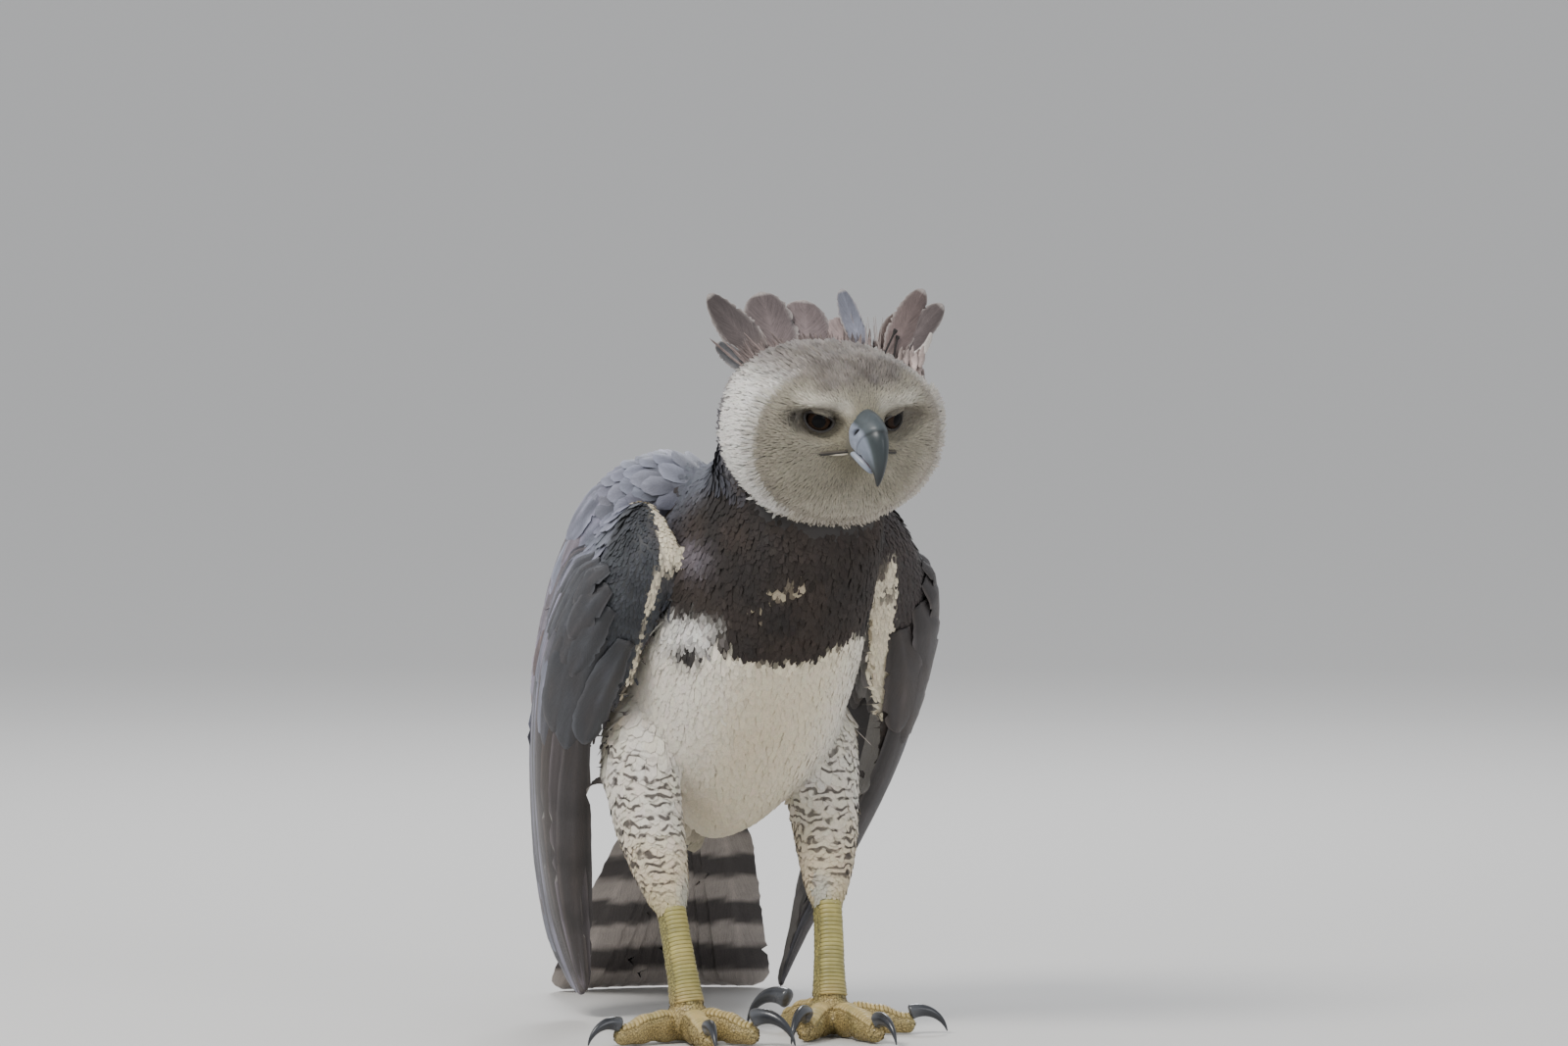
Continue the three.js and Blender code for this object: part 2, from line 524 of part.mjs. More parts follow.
const bodyRoom = trunkShape(GAP);
const neckRoom = neckShape(GAP);
const wings = [LEFT, RIGHT].map((side) => {
  const raw = wingShape(side).add(cape(side)).add(flightFeathers(side));
  return biggest(raw.subtract(bodyRoom).subtract(neckRoom).subtract(thigh(side, GAP)).subtract(floorCut));
});
const tailOut = biggest(tail.subtract(trunk.intersect(tailRoom)).subtract(bodyRoomCut()));
function bodyRoomCut() {
  // the tail's root meets the rump inside the room cut for it
  return trunkShape(GAP).subtract(shut(limb([
    [TAIL_BASE[0], TAIL_BASE[1] - 24, TAIL_BASE[2] + 16, 54 - GAP, 15 - GAP, 15 - GAP],
    [TAIL_BASE[0] + 4, TAIL_BASE[1] + 30, TAIL_BASE[2] - 20, 56 - GAP, 18 - GAP, 18 - GAP],
    [TAIL_BASE[0] + 10, TAIL_BASE[1] + 90, TAIL_BASE[2] - 60, 60 - GAP, 22 - GAP, 22 - GAP],
  ], { around: 20, rings: 8, cap: 0.2 })));
}

// ---------- named nodes ----------
const group = new THREE.Group();
group.position.y = -ORIGIN_Y;
function node(name, m, color, roughness = 0.85, metalness = 0) {
  const mesh = m.getMesh(), n = mesh.numProp, v = new Float32Array(mesh.numVert * 3);
  for (let i = 0; i < mesh.numVert; i++) v.set(mesh.vertProperties.subarray(i * n, i * n + 3), i * 3);
  const g = new THREE.BufferGeometry();
  g.setAttribute("position", new THREE.BufferAttribute(v, 3));
  g.setIndex(new THREE.BufferAttribute(new Uint32Array(mesh.triVerts), 1));
  g.computeVertexNormals();
  const made = new THREE.Mesh(g, new THREE.MeshStandardMaterial({ color, roughness, metalness, flatShading: true }));
  made.name = name;
  group.add(made);
}

node("head", head, 0xb9b6ac);
node("crest", crest, 0x6f6a68);
node("bill_upper", upper, 0x56626c, 0.4);
node("bill_lower", lower, 0x4d565c, 0.45);
node("eye_left", eyes[0], 0x20140d, 0.08);
node("eye_right", eyes[1], 0x20140d, 0.08);
node("neck", neck, 0x35322f);
node("trunk", trunk, 0xd9d3c4);
node("wing_left", wings[0], 0x4b5058);
node("wing_right", wings[1], 0x4b5058);
node("tail", tailOut, 0x8b8175);
for (const { side, thigh: t, tarsus: s, foot: f } of legs) {
  const name = side === LEFT ? "left" : "right";
  node("thigh_" + name, t, 0xcfcabd);
  node("tarsus_" + name, s, 0xc2a53a, 0.6);
  node("foot_" + name, f, 0xc9ab3f, 0.6);
  for (const one of TOES) node("claw_" + one[0] + "_" + name, claw(side, one), 0x23262a, 0.3);
}

export default group;
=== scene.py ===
import math

import bpy
import numpy as np
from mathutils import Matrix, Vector
from mathutils.bvhtree import BVHTree
from mathutils.kdtree import KDTree


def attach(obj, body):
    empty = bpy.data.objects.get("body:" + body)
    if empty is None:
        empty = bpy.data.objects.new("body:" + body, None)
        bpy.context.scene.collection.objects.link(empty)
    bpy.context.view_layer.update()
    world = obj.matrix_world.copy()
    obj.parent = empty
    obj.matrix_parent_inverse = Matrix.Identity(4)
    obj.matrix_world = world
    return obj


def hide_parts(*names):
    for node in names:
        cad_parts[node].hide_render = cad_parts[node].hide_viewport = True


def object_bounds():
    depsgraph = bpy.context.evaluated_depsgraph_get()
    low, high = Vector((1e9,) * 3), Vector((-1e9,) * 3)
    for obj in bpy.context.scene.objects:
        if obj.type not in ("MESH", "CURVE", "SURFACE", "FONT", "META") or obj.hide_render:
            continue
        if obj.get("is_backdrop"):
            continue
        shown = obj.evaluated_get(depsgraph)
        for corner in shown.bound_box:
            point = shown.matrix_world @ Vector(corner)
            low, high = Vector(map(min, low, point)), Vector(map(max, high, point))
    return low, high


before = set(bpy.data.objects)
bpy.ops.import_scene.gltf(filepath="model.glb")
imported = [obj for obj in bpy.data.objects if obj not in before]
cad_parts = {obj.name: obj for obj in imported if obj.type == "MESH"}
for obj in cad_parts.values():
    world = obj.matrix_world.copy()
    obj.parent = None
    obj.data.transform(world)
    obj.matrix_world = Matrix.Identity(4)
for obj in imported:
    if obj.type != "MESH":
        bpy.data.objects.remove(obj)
cad_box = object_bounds()
ORIGIN_Y = 109.4
PI = math.pi


def M(p):
    return (np.asarray(p, float) - (0, ORIGIN_Y, 0)) * 0.001


# ---------------------------------------------------------------- small tools
def lerp(a, b, t):
    return a + (b - a) * t


def smooth(x, a, b):
    t = np.clip((np.asarray(x, float) - a) / (b - a), 0, 1)
    return t * t * (3 - 2 * t)


def unit(v):
    v = np.asarray(v, float)
    return v / np.maximum(np.linalg.norm(v, axis=-1, keepdims=True), 1e-9)


def dot(a, b):
    return (a * b).sum(-1, keepdims=True)


def rot_x(a):
    c, s = math.cos(a), math.sin(a)
    return np.array([[1, 0, 0], [0, c, -s], [0, s, c]])


def rot_z(a):
    c, s = math.cos(a), math.sin(a)
    return np.array([[c, -s, 0], [s, c, 0], [0, 0, 1]])


def along(rows, t):
    """Smooth interpolation of a table of evenly spread stations at the places t."""
    rows, t = np.asarray(rows, float), np.asarray(t, float)
    n = len(rows) - 1
    i = np.clip(np.floor(t * n).astype(int), 0, n - 1)
    f = np.clip(t * n - i, 0, 1)[..., None]
    r = lambda k: rows[np.clip(k, 0, n)]
    p0, p1, p2, p3 = r(i - 1), r(i), r(i + 1), r(i + 2)
    m1, m2 = (p2 - p0) / 2, (p3 - p1) / 2
    f2, f3 = f * f, f * f * f
    return (2 * f3 - 3 * f2 + 1) * p1 + (f3 - 2 * f2 + f) * m1 + (3 * f2 - 2 * f3) * p2 + (f3 - f2) * m2


def hashed(i, j, k, seed):
    n = (i * 374761393 + j * 668265263 + k * 2147483647 + seed * 1274126177) & 0xFFFFFFFF
    n = ((n ^ (n >> 13)) * 1274126177) & 0xFFFFFFFF
    n = ((n ^ (n >> 16)) * 2246822519) & 0xFFFFFFFF
    return ((n ^ (n >> 15)) & 0xFFFFFF) / float(0xFFFFFF)


def noise(p, size, seed=0):
    """Value noise in space, -1..1, with lumps about size across."""
    q = np.asarray(p, float) / size
    b = np.floor(q).astype(np.int64)
    f = q - b
    f = f * f * (3 - 2 * f)
    out = 0
    for dx in (0, 1):
        for dy in (0, 1):
            for dz in (0, 1):
                w = (f[..., 0] if dx else 1 - f[..., 0]) * (f[..., 1] if dy else 1 - f[..., 1]) * (f[..., 2] if dz else 1 - f[..., 2])
                out = out + w * hashed(b[..., 0] + dx, b[..., 1] + dy, b[..., 2] + dz, seed)
    return out * 2 - 1


def dome(t, cap):
    x = np.clip(1 - np.minimum(t, 1 - t) / cap, 0, 1)
    return np.sqrt(np.clip(1 - x * x, 0, 1))


def rounded(c, n, power):
    return (np.abs(c) ** power + np.abs(n) ** power) ** (-1 / power)


# ---------------------------------------------------------------- driving dimensions
HEAD_AT = np.array([10.0, -160.0, 577.0])
HEAD_R = rot_z(math.radians(6)) @ rot_x(math.radians(12))
CREST_R = rot_z(math.radians(6))
EYE_RADIUS = 15.0
EYE_AT = np.array([34.0, -40.0, 23.0])
BAND_EDGE = 361.0  # height of the breast band's lower edge at the middle


def head_out(p):
    return np.asarray(p, float) @ HEAD_R.T + HEAD_AT


def head_in(p):
    return (np.asarray(p, float) - HEAD_AT) @ HEAD_R


def crest_out(p):
    return np.asarray(p, float) @ CREST_R.T + HEAD_AT


HEAD_STATIONS = [
    [-80, 13, 14, 15, 13], [-71, 13, 20, 24, 21], [-63, 12, 28, 32, 32], [-57, 9, 42, 41, 46],
    [-52, 5, 62, 52, 60], [-46, 2, 81, 62, 71], [-36, 0, 97, 72, 79], [-14, 0, 106, 78, 83],
    [16, 0, 106, 80, 82], [46, 0, 96, 76, 72], [70, 0, 76, 62, 56], [87, 0, 48, 42, 36],
]
TRUNK = [
    [0, -138, 548, 60, 48, 62], [0, -109, 515, 84, 74, 90], [0, -58, 467, 96, 118, 108],
    [0, -8, 419, 104, 142, 116], [0, 43, 371, 112, 142, 122], [0, 94, 322, 109, 118, 126],
    [0, 142, 277, 88, 86, 122], [0, 182, 240, 56, 46, 92], [0, 208, 218, 28, 18, 54],
]
NECK = [
    [0, -52, 500, 70, 60, 60], [1, -78, 528, 84, 62, 74], [4, -108, 552, 88, 60, 74],
    [8, -140, 572, 76, 50, 60], [10, -165, 585, 40, 30, 34],
]
CAPE = [
    [50, 6, 518, 34, 22, 26], [63, 52, 513, 50, 34, 38], [75, 104, 494, 57, 38, 43],
    [91, 148, 451, 54, 32, 36], [110, 180, 392, 44, 22, 24], [127, 202, 326, 29, 11, 12],
    [140, 214, 268, 12, 4, 5],
]
WING_LEAD = [
    [104, -22, 506], [94, -54, 464], [96, -34, 416], [104, 6, 360], [112, 44, 298],
    [118, 84, 228], [115, 138, 154], [106, 186, 88], [97, 214, 28],
]
WING_TRAIL = [
    [104, 96, 500], [122, 136, 476], [139, 164, 430], [148, 188, 368], [152, 208, 298],
    [147, 228, 224], [138, 240, 146], [122, 243, 76], [101, 234, 22],
]
WING_BULGE = [[30], [52], [68], [72], [62], [44], [25], [11], [3]]
WING_DEPTH = [[60], [66], [58], [42], [24], [13], [10], [4], [3]]
COVERTS_END = 0.66
FOOT_AT = {1: (69.0, 2.0), -1: (-77.0, -10.0)}
TOES = {
    "middle": (8, 96, 13.5, 50, 8), "inner": (-38, 76, 13.5, 60, 9),
    "outer": (76, 80, 12.5, 46, 7.5), "hind": (206, 58, 14, 70, 10),
}


def thigh_rows(side):
    fx, fy = FOOT_AT[side]
    return [[fx + side * d, fy + e, z, w, u, v] for d, e, z, w, u, v in (
        (10, 92, 330, 38, 48, 50), (18, 82, 270, 40, 52, 54), (18, 66, 215, 37, 46, 47),
        (14, 47, 172, 33, 38, 38), (9, 33, 137, 27, 28, 28), (6, 25, 114, 21, 21, 21))]


def tarsus_rows(side):
    fx, fy = FOOT_AT[side]
    return [[fx + side * d, fy + e, z, w, u, v] for d, e, z, w, u, v in (
        (9, 38, 168, 14, 15, 15), (7.5, 28, 130, 14, 15, 15), (5, 17, 92, 14.5, 16, 15),
        (2, 7, 58, 15.5, 16, 16), (0, 0, 30, 18, 18, 18))]


# ---------------------------------------------------------------- parametric shapes, t along and a round
def head_local(t, a, grow=0.0):
    s = along(HEAD_STATIONS, np.power(t, 0.94))
    d, c, n = dome(t, 0.1), np.cos(a), np.sin(a)
    rim = np.exp(-(((s[..., 0] + 20) / 10) ** 2)) * 3.5 - np.exp(-(((s[..., 0] + 39) / 4.5) ** 2)) * 5.0
    power = np.where(c > 0, 2.35, 2.1)
    r = rounded(c, n, power)
    y = s[..., 0] - np.where(t < 0.01, 3 + grow, 0) + np.where(t > 0.99, 8 + grow, 0)
    return np.stack([
        (s[..., 2] + rim + grow) * d * n * r, y,
        s[..., 1] + (np.where(c > 0, s[..., 3], s[..., 4]) + rim * 0.7 + grow) * d * c * r,
    ], -1)


def limb(rows, t, a, grow=0.0, cap=0.12, side=(1, 0, 0), power=2.0):
    e = 1e-3
    s = along(rows, t)
    tangent = unit(along(rows, np.minimum(1, t + e))[..., :3] - along(rows, np.maximum(0, t - e))[..., :3])
    up = unit(np.cross(tangent, np.asarray(side, float)))
    across = unit(np.cross(up, tangent))
    d, c, n = dome(t, cap)[..., None], np.cos(a)[..., None], np.sin(a)[..., None]
    r = rounded(c, n, power)
    deep = np.where(c > 0, s[..., 4:5], s[..., 5:6]) + grow
    ends = np.where(t < 1e-6, -1, np.where(t > 1 - 1e-6, 1, 0))[..., None]
    return s[..., :3] + up * d * deep * c * r + across * d * (s[..., 3:4] + grow) * n * r + tangent * grow * ends


def trunk(t, a, grow=0.0):
    e = 1e-3
    s = along(TRUNK, t)
    tangent = along(TRUNK, np.minimum(1, t + e))[..., :3] - along(TRUNK, np.maximum(0, t - e))[..., :3]
    tangent[..., 0] = 0
    tangent = unit(tangent)
    up = unit(np.cross(np.array([1.0, 0, 0]), tangent))
    up = np.where(up[..., 2:3] < 0, -up, up)
    d, c, n = dome(t, 0.1), np.cos(a), np.sin(a)
    power = np.where(c > 0, 2.3, lerp(2.15, 1.55, smooth(t, 0.55, 0.9)))
    r = rounded(c, n, power)
    deep = np.where(c > 0, s[..., 4], s[..., 5]) + grow
    p = s[..., :3] * (0, 1, 1) + up * (d * deep * r * c)[..., None]
    p[..., 0] += d * (s[..., 3] + grow) * r * n
    return p


def wing_point(u, v):
    lead, trail = along(WING_LEAD, v), along(WING_TRAIL, v)
    chord = trail - lead
    chord[..., 2] = 0
    chord = unit(chord)
    out = np.stack([chord[..., 1], -chord[..., 0], 0 * chord[..., 0]], -1)
    q = np.clip(u, 0, 1)[..., None]
    over = np.where(u > 1, u - 1, np.where(u < 0, u, 0))[..., None]
    return lead + (trail - lead) * (q + over) + out * along(WING_BULGE, v) * np.sin(PI * q ** 0.55)


def wing_normal(u, v):
    e = 0.02
    du = wing_point(np.clip(u + e, 0, 1), v) - wing_point(np.clip(u - e, 0, 1), v)
    dv = wing_point(u, np.clip(v + e, 0, 1)) - wing_point(u, np.clip(v - e, 0, 1))
    return unit(np.cross(dv, du))


def wing_sleeve(t, a, inset=0.0):
    """The feathered arm: outer face for a under pi, inner face past it."""
    v, k = t * COVERTS_END, a / PI
    outer = k <= 1
    u = np.where(outer, k, 2 - k)
    edge = np.sqrt(np.clip(1 - (2 * u - 1) ** 6, 0, 1))[..., None]
    deep = along(WING_DEPTH, v)
    n = wing_normal(np.clip(u, 0.04, 0.96), v)
    p = wing_point(u, v) + n * np.where(outer[..., None], -inset, -deep * edge - 0.5 + inset * np.minimum(1, deep / 30))
    heart = wing_point(0 * u + 0.45, v) - wing_normal(0 * u + 0.45, v) * deep * 0.5
    away = unit(p - heart)
    p = p - away * inset * 0.5
    left = np.where(t < 0.5, dome(t, 0.18), dome(t, 0.1))[..., None]
    p = heart + (p - heart) * left
    p[..., 2] += np.where(t < 0.18, 14 * (1 - t / 0.18), 0)
    return p


def toe_rows(side, name):
    heading, length, radius = TOES[name][:3]
    a = math.radians(heading)
    way = np.array([side * math.sin(a), -math.cos(a), 0])
    start = np.array([*FOOT_AT[side], 0.0])
    rows = []
    for t in (0, 0.2, 0.4, 0.6, 0.8, 1):
        r = radius * lerp(1, 0.78, t)
        arch = 8 * math.sin(PI * min(1, t * 1.15))
        c = start + way * length * t
        rows.append([c[0], c[1], r * 0.9 + arch * (1 if t < 0.85 else 0.4), r, r,
                     r * (1.05 if t > 0.1 else 1) + (arch * 0.75 if 0.15 < t < 0.95 else 0)])
    return rows, way


def toe(side, name, t, a, grow=0.0):
    rows, way = toe_rows(side, name)
    across = np.cross((0, 0, 1), way)
    s = along(rows, t)
    d, c, n = dome(t, 0.12)[..., None], np.cos(a)[..., None], np.sin(a)[..., None]
    swell = (1 + 0.07 * np.cos(t * PI * 6))[..., None]
    ends = np.where(t < 1e-6, -1, np.where(t > 1 - 1e-6, 1, 0))[..., None]
    p = (s[..., :3] + across * (s[..., 3:4] * swell + grow) * d * n
         + np.array([0, 0, 1.0]) * (np.where(c > 0, s[..., 4:5], s[..., 5:6]) * swell + grow) * d * c + way * ends * (2 + grow))
    p[..., 2] = np.maximum(p[..., 2], 0.5)
    return p


def grid(f, around, rings, **extra):
    """A closed body with poles at both ends from f(t, a). Returns points, faces, and t and a of each point."""
    t = np.repeat(np.linspace(0, 1, rings + 1)[1:-1], around)
    a = np.tile(np.arange(around) * 2 * PI / around, rings - 1)
    t, a = np.concatenate([[0.0], t, [1.0]]), np.concatenate([[0.0], a, [0.0]])
    p = f(t, a, **extra)
    i = np.arange((rings - 2) * around).reshape(rings - 2, around) + 1
    j = np.roll(i, -1, 1)
    quads = np.stack([i, j, j + around, i + around], -1).reshape(-1, 4)
    first, last = np.arange(around) + 1, np.arange(around) + 1 + (rings - 2) * around
    tris = np.concatenate([
        np.stack([np.zeros(around, int), np.roll(first, -1), first], -1),
        np.stack([np.full(around, len(p) - 1), last, np.roll(last, -1)], -1)])
    return p, [tuple(q) for q in quads] + [tuple(q) for q in tris], t, a


def outward(p, faces):
    """Faces turned so that the closed body's volume is positive."""
    vol = 0.0
    for size in {len(f) for f in faces}:
        q = p[np.array([f for f in faces if len(f) == size])]
        for k in range(1, size - 1):
            vol += np.einsum("ij,ij->i", q[:, 0], np.cross(q[:, k], q[:, k + 1])).sum()
    return faces if vol > 0 else [f[::-1] for f in faces]


# ---------------------------------------------------------------- meshes
def mesh_object(name, p, faces, smooth_faces=True):
    """faces: an (n, 3) or (n, 4) array, or a list of tuples."""
    me = bpy.data.meshes.new(name)
    if isinstance(faces, np.ndarray):
        n, k = faces.shape
        me.vertices.add(len(p))
        me.vertices.foreach_set("co", np.asarray(p, np.float32).ravel())
        me.loops.add(n * k)
        me.loops.foreach_set("vertex_index", faces.astype(np.int32).ravel())
        me.polygons.add(n)
        me.polygons.foreach_set("loop_start", np.arange(0, n * k, k, dtype=np.int32))
        me.polygons.foreach_set("loop_total", np.full(n, k, np.int32))
        me.update(calc_edges=True)
    else:
        me.from_pydata([tuple(map(float, v)) for v in p], [], [tuple(map(int, f)) for f in faces])
        me.update()
    me.polygons.foreach_set("use_smooth", np.full(len(me.polygons), smooth_faces))
    ob = bpy.data.objects.new(name, me)
    bpy.context.scene.collection.objects.link(ob)
    return ob


def tint(ob, colours, name="tint"):
    """A colour for each vertex, linear."""
    at = ob.data.color_attributes.new(name, "FLOAT_COLOR", "POINT")
    c = np.ones((len(ob.data.vertices), 4), np.float32)
    c[:, : colours.shape[1]] = colours
    at.data.foreach_set("color", c.ravel())


def number(ob, values, name):
    at = ob.data.attributes.new(name, "FLOAT", "POINT")
    at.data.foreach_set("value", np.asarray(values, np.float32))


def uv_map(ob, per_vertex, name):
    layer = ob.data.uv_layers.new(name=name, do_init=False)
    loops = np.empty(len(ob.data.loops), np.int32)
    ob.data.loops.foreach_get("vertex_index", loops)
    layer.data.foreach_set("uv", np.asarray(per_vertex, np.float32)[loops].ravel())


def tri_faces(me):
    me.calc_loop_triangles()
    f = np.empty(len(me.loop_triangles) * 3, np.int32)
    me.loop_triangles.foreach_get("vertices", f)
    return f.reshape(-1, 3)


def points_of(me):
    co = np.empty(len(me.vertices) * 3, np.float32)
    me.vertices.foreach_get("co", co)
    return co.reshape(-1, 3).astype(float)


def applied(ob):
    """The mesh with its modifiers applied."""
    dg = bpy.context.evaluated_depsgraph_get()
    me = bpy.data.meshes.new_from_object(ob.evaluated_get(dg), depsgraph=dg)
    old = ob.data
    ob.modifiers.clear()
    ob.data = me
    bpy.data.meshes.remove(old)
    return ob


# ---------------------------------------------------------------- eyes and gape, in the head's own directions
def eye_frame(side):
    """Directions the eye looks in, across its opening and up it."""
    axis = unit(np.array([side * 0.50, -1.0, -0.02]))
    right = unit(np.cross(axis, (0, 0, 1.0)))
    tilt = math.radians(-13) * side
    upv = np.cross(right, axis)
    return axis, right * math.cos(tilt) + upv * math.sin(tilt), upv * math.cos(tilt) - right * math.sin(tilt)


def opening(a):
    """The lids' inner edge round the eye: long, flatter above."""
    c, s = np.cos(a), np.sin(a)
    return 12.8 * np.sign(c) * np.abs(c) ** 0.92, np.where(s > 0, 6.4, 9.2) * s * (1 - 0.10 * c * c)


def eye_places(p, side):
    """Across, up and along the eye's axis from its centre, and how far out of the opening (1 at its edge)."""
    axis, right, upv = eye_frame(side)
    q = head_in(p) - EYE_AT * (side, 1, 1)
    x, z, d = q @ right, q @ upv, q @ axis
    return x, z, d, np.hypot(x / 12.8, z / np.where(z > 0, 6.4, 9.2))


def gape_line(s, side):
    """From the bill's corner back under the eye."""
    return side * lerp(14.5, 37.0, s), lerp(-67, -48, s), lerp(-2.2, -6.5, s) - 0.4 * np.sin(PI * s)


# ---------------------------------------------------------------- skin: one body from all the flesh
parts = []  # name, side, points, faces, t, a, direction along the body at each point


def part(name, side, f, around, rings, mirror=False):
    p, faces, t, a = grid(f, around, rings)
    e = 0.004
    way = f(np.clip(t + e, 0.02, 0.98), a) - f(np.clip(t - e, 0.02 - 2 * e, 0.98 - 2 * e), a)
    if mirror and side < 0:
        p, way = p * (-1, 1, 1), way * (-1, 1, 1)
    parts.append((name, side, p, outward(p, faces), t, a, unit(way)))


def head_skin(t, a):
    y = along(HEAD_STATIONS, np.power(t, 0.94))[..., 0]
    depth = 2.2 + 4.8 * smooth(y, -44, -18)
    p = head_local(t, a, -depth)
    # brows stand out over the eyes, the cheeks are full beside the gape, the lores are pinched
    for side in (1, -1):
        q = p - (side * 33, -50, 40)
        w = np.exp(-((q[..., 0] / 22) ** 2 + (q[..., 1] / 14) ** 2 + ((q[..., 2] + side * q[..., 0] * 0.22) / 8.5) ** 2))
        p = p + w[..., None] * np.array([0, -7.5, 1.0])
        q = p - (side * 37, -58, 24)
        w = np.exp(-((q[..., 0] / 15) ** 2 + (q[..., 1] / 16) ** 2 + (q[..., 2] / 9.5) ** 2))
        p = p + w[..., None] * np.array([0, 8.0, 0])
    return head_out(p)


part("head", 0, head_skin, 96, 72)
part("neck", 0, lambda t, a: limb(NECK, t, a, -8, 0.22), 60, 30)
part("trunk", 0, lambda t, a: trunk(t, a, -8.5), 84, 72)
part("rump", 0, lambda t, a: limb([[4, 176, 250, 46, 16, 26], [8, 214, 222, 44, 14, 20], [12, 250, 190, 40, 9, 12], [17, 290, 156, 36, 4, 5]], t, a, -3, 0.2), 40, 24)
for s in (1, -1):
    part("wing", s, lambda t, a: wing_sleeve(t, a, 6.0), 72, 60, True)
    part("cape", s, lambda t, a: limb(CAPE, t, a, -6.5, 0.2, side=(1, -0.3, 0.25)), 48, 40, True)
    part("thigh", s, lambda t, a, s=s: limb(thigh_rows(s), t, a, -6.5, 0.2), 48, 40)
    part("tarsus", s, lambda t, a, s=s: limb(tarsus_rows(s), t, a, -0.9, 0.1), 32, 40)
    ball = lambda t, a, s=s: np.stack([FOOT_AT[s][0] + 22 * np.sin(PI * t) * np.cos(a), FOOT_AT[s][1] + 23 * np.sin(PI * t) * np.sin(a), np.maximum(19 - 19 * np.cos(PI * t), 0.5)], -1)
    part("foot", s, ball, 32, 16)
    for name in TOES:
        part("foot", s, lambda t, a, s=s, name=name: toe(s, name, t, a, -0.9), 24, 28)


def joined(items):
    p, f, base = [], [], 0
    for _, _, q, faces, *_ in items:
        p.append(q)
        f += [tuple(int(i) + base for i in face) for face in faces]
        base += len(q)
    return np.concatenate(p), f


raw_p, raw_f = joined(parts)
raw_tree = BVHTree.FromPolygons([tuple(v) for v in raw_p], raw_f)
NAMES = ["head", "neck", "trunk", "rump", "wing", "cape", "thigh", "tarsus", "foot"]
LABEL = {n: i for i, n in enumerate(NAMES)}
raw_label = np.concatenate([np.full(len(x[2]), LABEL[x[0]]) for x in parts])
raw_side = np.concatenate([np.full(len(x[2]), x[1]) for x in parts])
raw_t = np.concatenate([x[4] for x in parts])
raw_a = np.concatenate([x[5] for x in parts])
raw_way = np.concatenate([x[6] for x in parts])
raw_first = np.array([f[0] for f in raw_f])
raw_second = np.array([f[2] for f in raw_f])

skin = mesh_object("skin", M(raw_p), raw_f)
mod = skin.modifiers.new("one_body", "REMESH")
mod.mode, mod.voxel_size, mod.adaptivity = "VOXEL", 0.0034, 0.0
applied(skin)


def relax(p, edges, rounds, keep=None, pull=0.5):
    n = len(p)
    count = np.bincount(edges.ravel(), minlength=n)[:, None]
    for _ in range(rounds):
        mean = np.stack([np.bincount(edges[:, 0], p[edges[:, 1], k], n) + np.bincount(edges[:, 1], p[edges[:, 0], k], n) for k in range(p.shape[1])], -1) / np.maximum(count, 1)
        step = (mean - p) * pull
        p = p + (step if keep is None else step * keep)
    return p


def edges_of(me):
    e = np.empty(len(me.edges) * 2, np.int32)
    me.edges.foreach_get("vertices", e)
    return e.reshape(-1, 2)


def nearest(tree, p, reach=1e6):
    """Nearest place, its normal and its face for each point."""
    q, n, f = np.array(p, float), np.zeros_like(np.asarray(p, float)), np.zeros(len(p), int)
    for i, v in enumerate(p):
        hit = tree.find_nearest(v)
        if hit[0] is not None:
            q[i], n[i], f[i] = hit[0], hit[1], hit[2]
    return q, n, f


# the legs get a finer mesh, laid on their own shape again
import bmesh

bm = bmesh.new()
bm.from_mesh(skin.data)
fine = [e for e in bm.edges if all(v.co.z < 0.128 and v.co.y < -0.02 for v in e.verts)]
bmesh.ops.subdivide_edges(bm, edges=fine, cuts=1, use_grid_fill=True)
for reach in (34, 27):
    at = [M(head_out(EYE_AT * (s, 1, 1) + (0, -10, 0))) for s in (1, -1)]
    fine = [e for e in bm.edges if any((e.verts[0].co - Vector(c)).length * 1000 < reach and (e.verts[1].co - Vector(c)).length * 1000 < reach for c in at)]
    bmesh.ops.subdivide_edges(bm, edges=fine, cuts=1, use_grid_fill=True)
bm.to_mesh(skin.data)
bm.free()
skin_p = points_of(skin.data) * 1000 + (0, ORIGIN_Y, 0)
skin_e = edges_of(skin.data)
leg = (skin_p[:, 2] < 128) & (skin_p[:, 1] < 90)
skin_p = relax(skin_p, skin_e, 9, np.where(leg, 0.12, 1.0)[:, None])
q, qn, qf = nearest(raw_tree, skin_p)
near_raw = np.linalg.norm(q - skin_p, axis=1)
pick = leg & (near_raw < 1.6) & (skin_p[:, 2] < 118)
skin_p[pick] = q[pick]
skin_p = relax(skin_p, skin_e, 2, np.where(leg, 0.3, 0.5)[:, None])
skin_p[:, 2] = np.maximum(skin_p[:, 2], 0.35)
# sockets: inside the lids' opening the skin drops behind the eyeball, and round it it meets the lids
for s in (1, -1):
    axis = eye_frame(s)[0] @ HEAD_R.T
    for k in range(3):
        x, z, d, rho = eye_places(skin_p, s)
        near = (rho < 2.6) & (d > 0) & (np.hypot(x, z) < 34)
        ball = np.sqrt(np.maximum(EYE_RADIUS ** 2 - np.minimum(x * x + z * z, 210), 0))
        brow = 4.6 * smooth(z, 4, 10) * smooth(z, 24, 14)
        rim = ball + 0.9 + brow
        want = np.where(rho < 1.0, ball - 4.0 * smooth(rho, 1.0, 0.85), lerp(rim, d, smooth(rho, 1.15, 2.3)))
        want = np.where(rho < 1.15, np.minimum(want, rim), want)
        skin_p = skin_p + axis * (np.where(near, want - d, 0) * 0.9)[:, None]
        if k < 2:
            skin_p = relax(skin_p, skin_e, 2, (near & (rho > 1.1))[:, None] * 0.6)
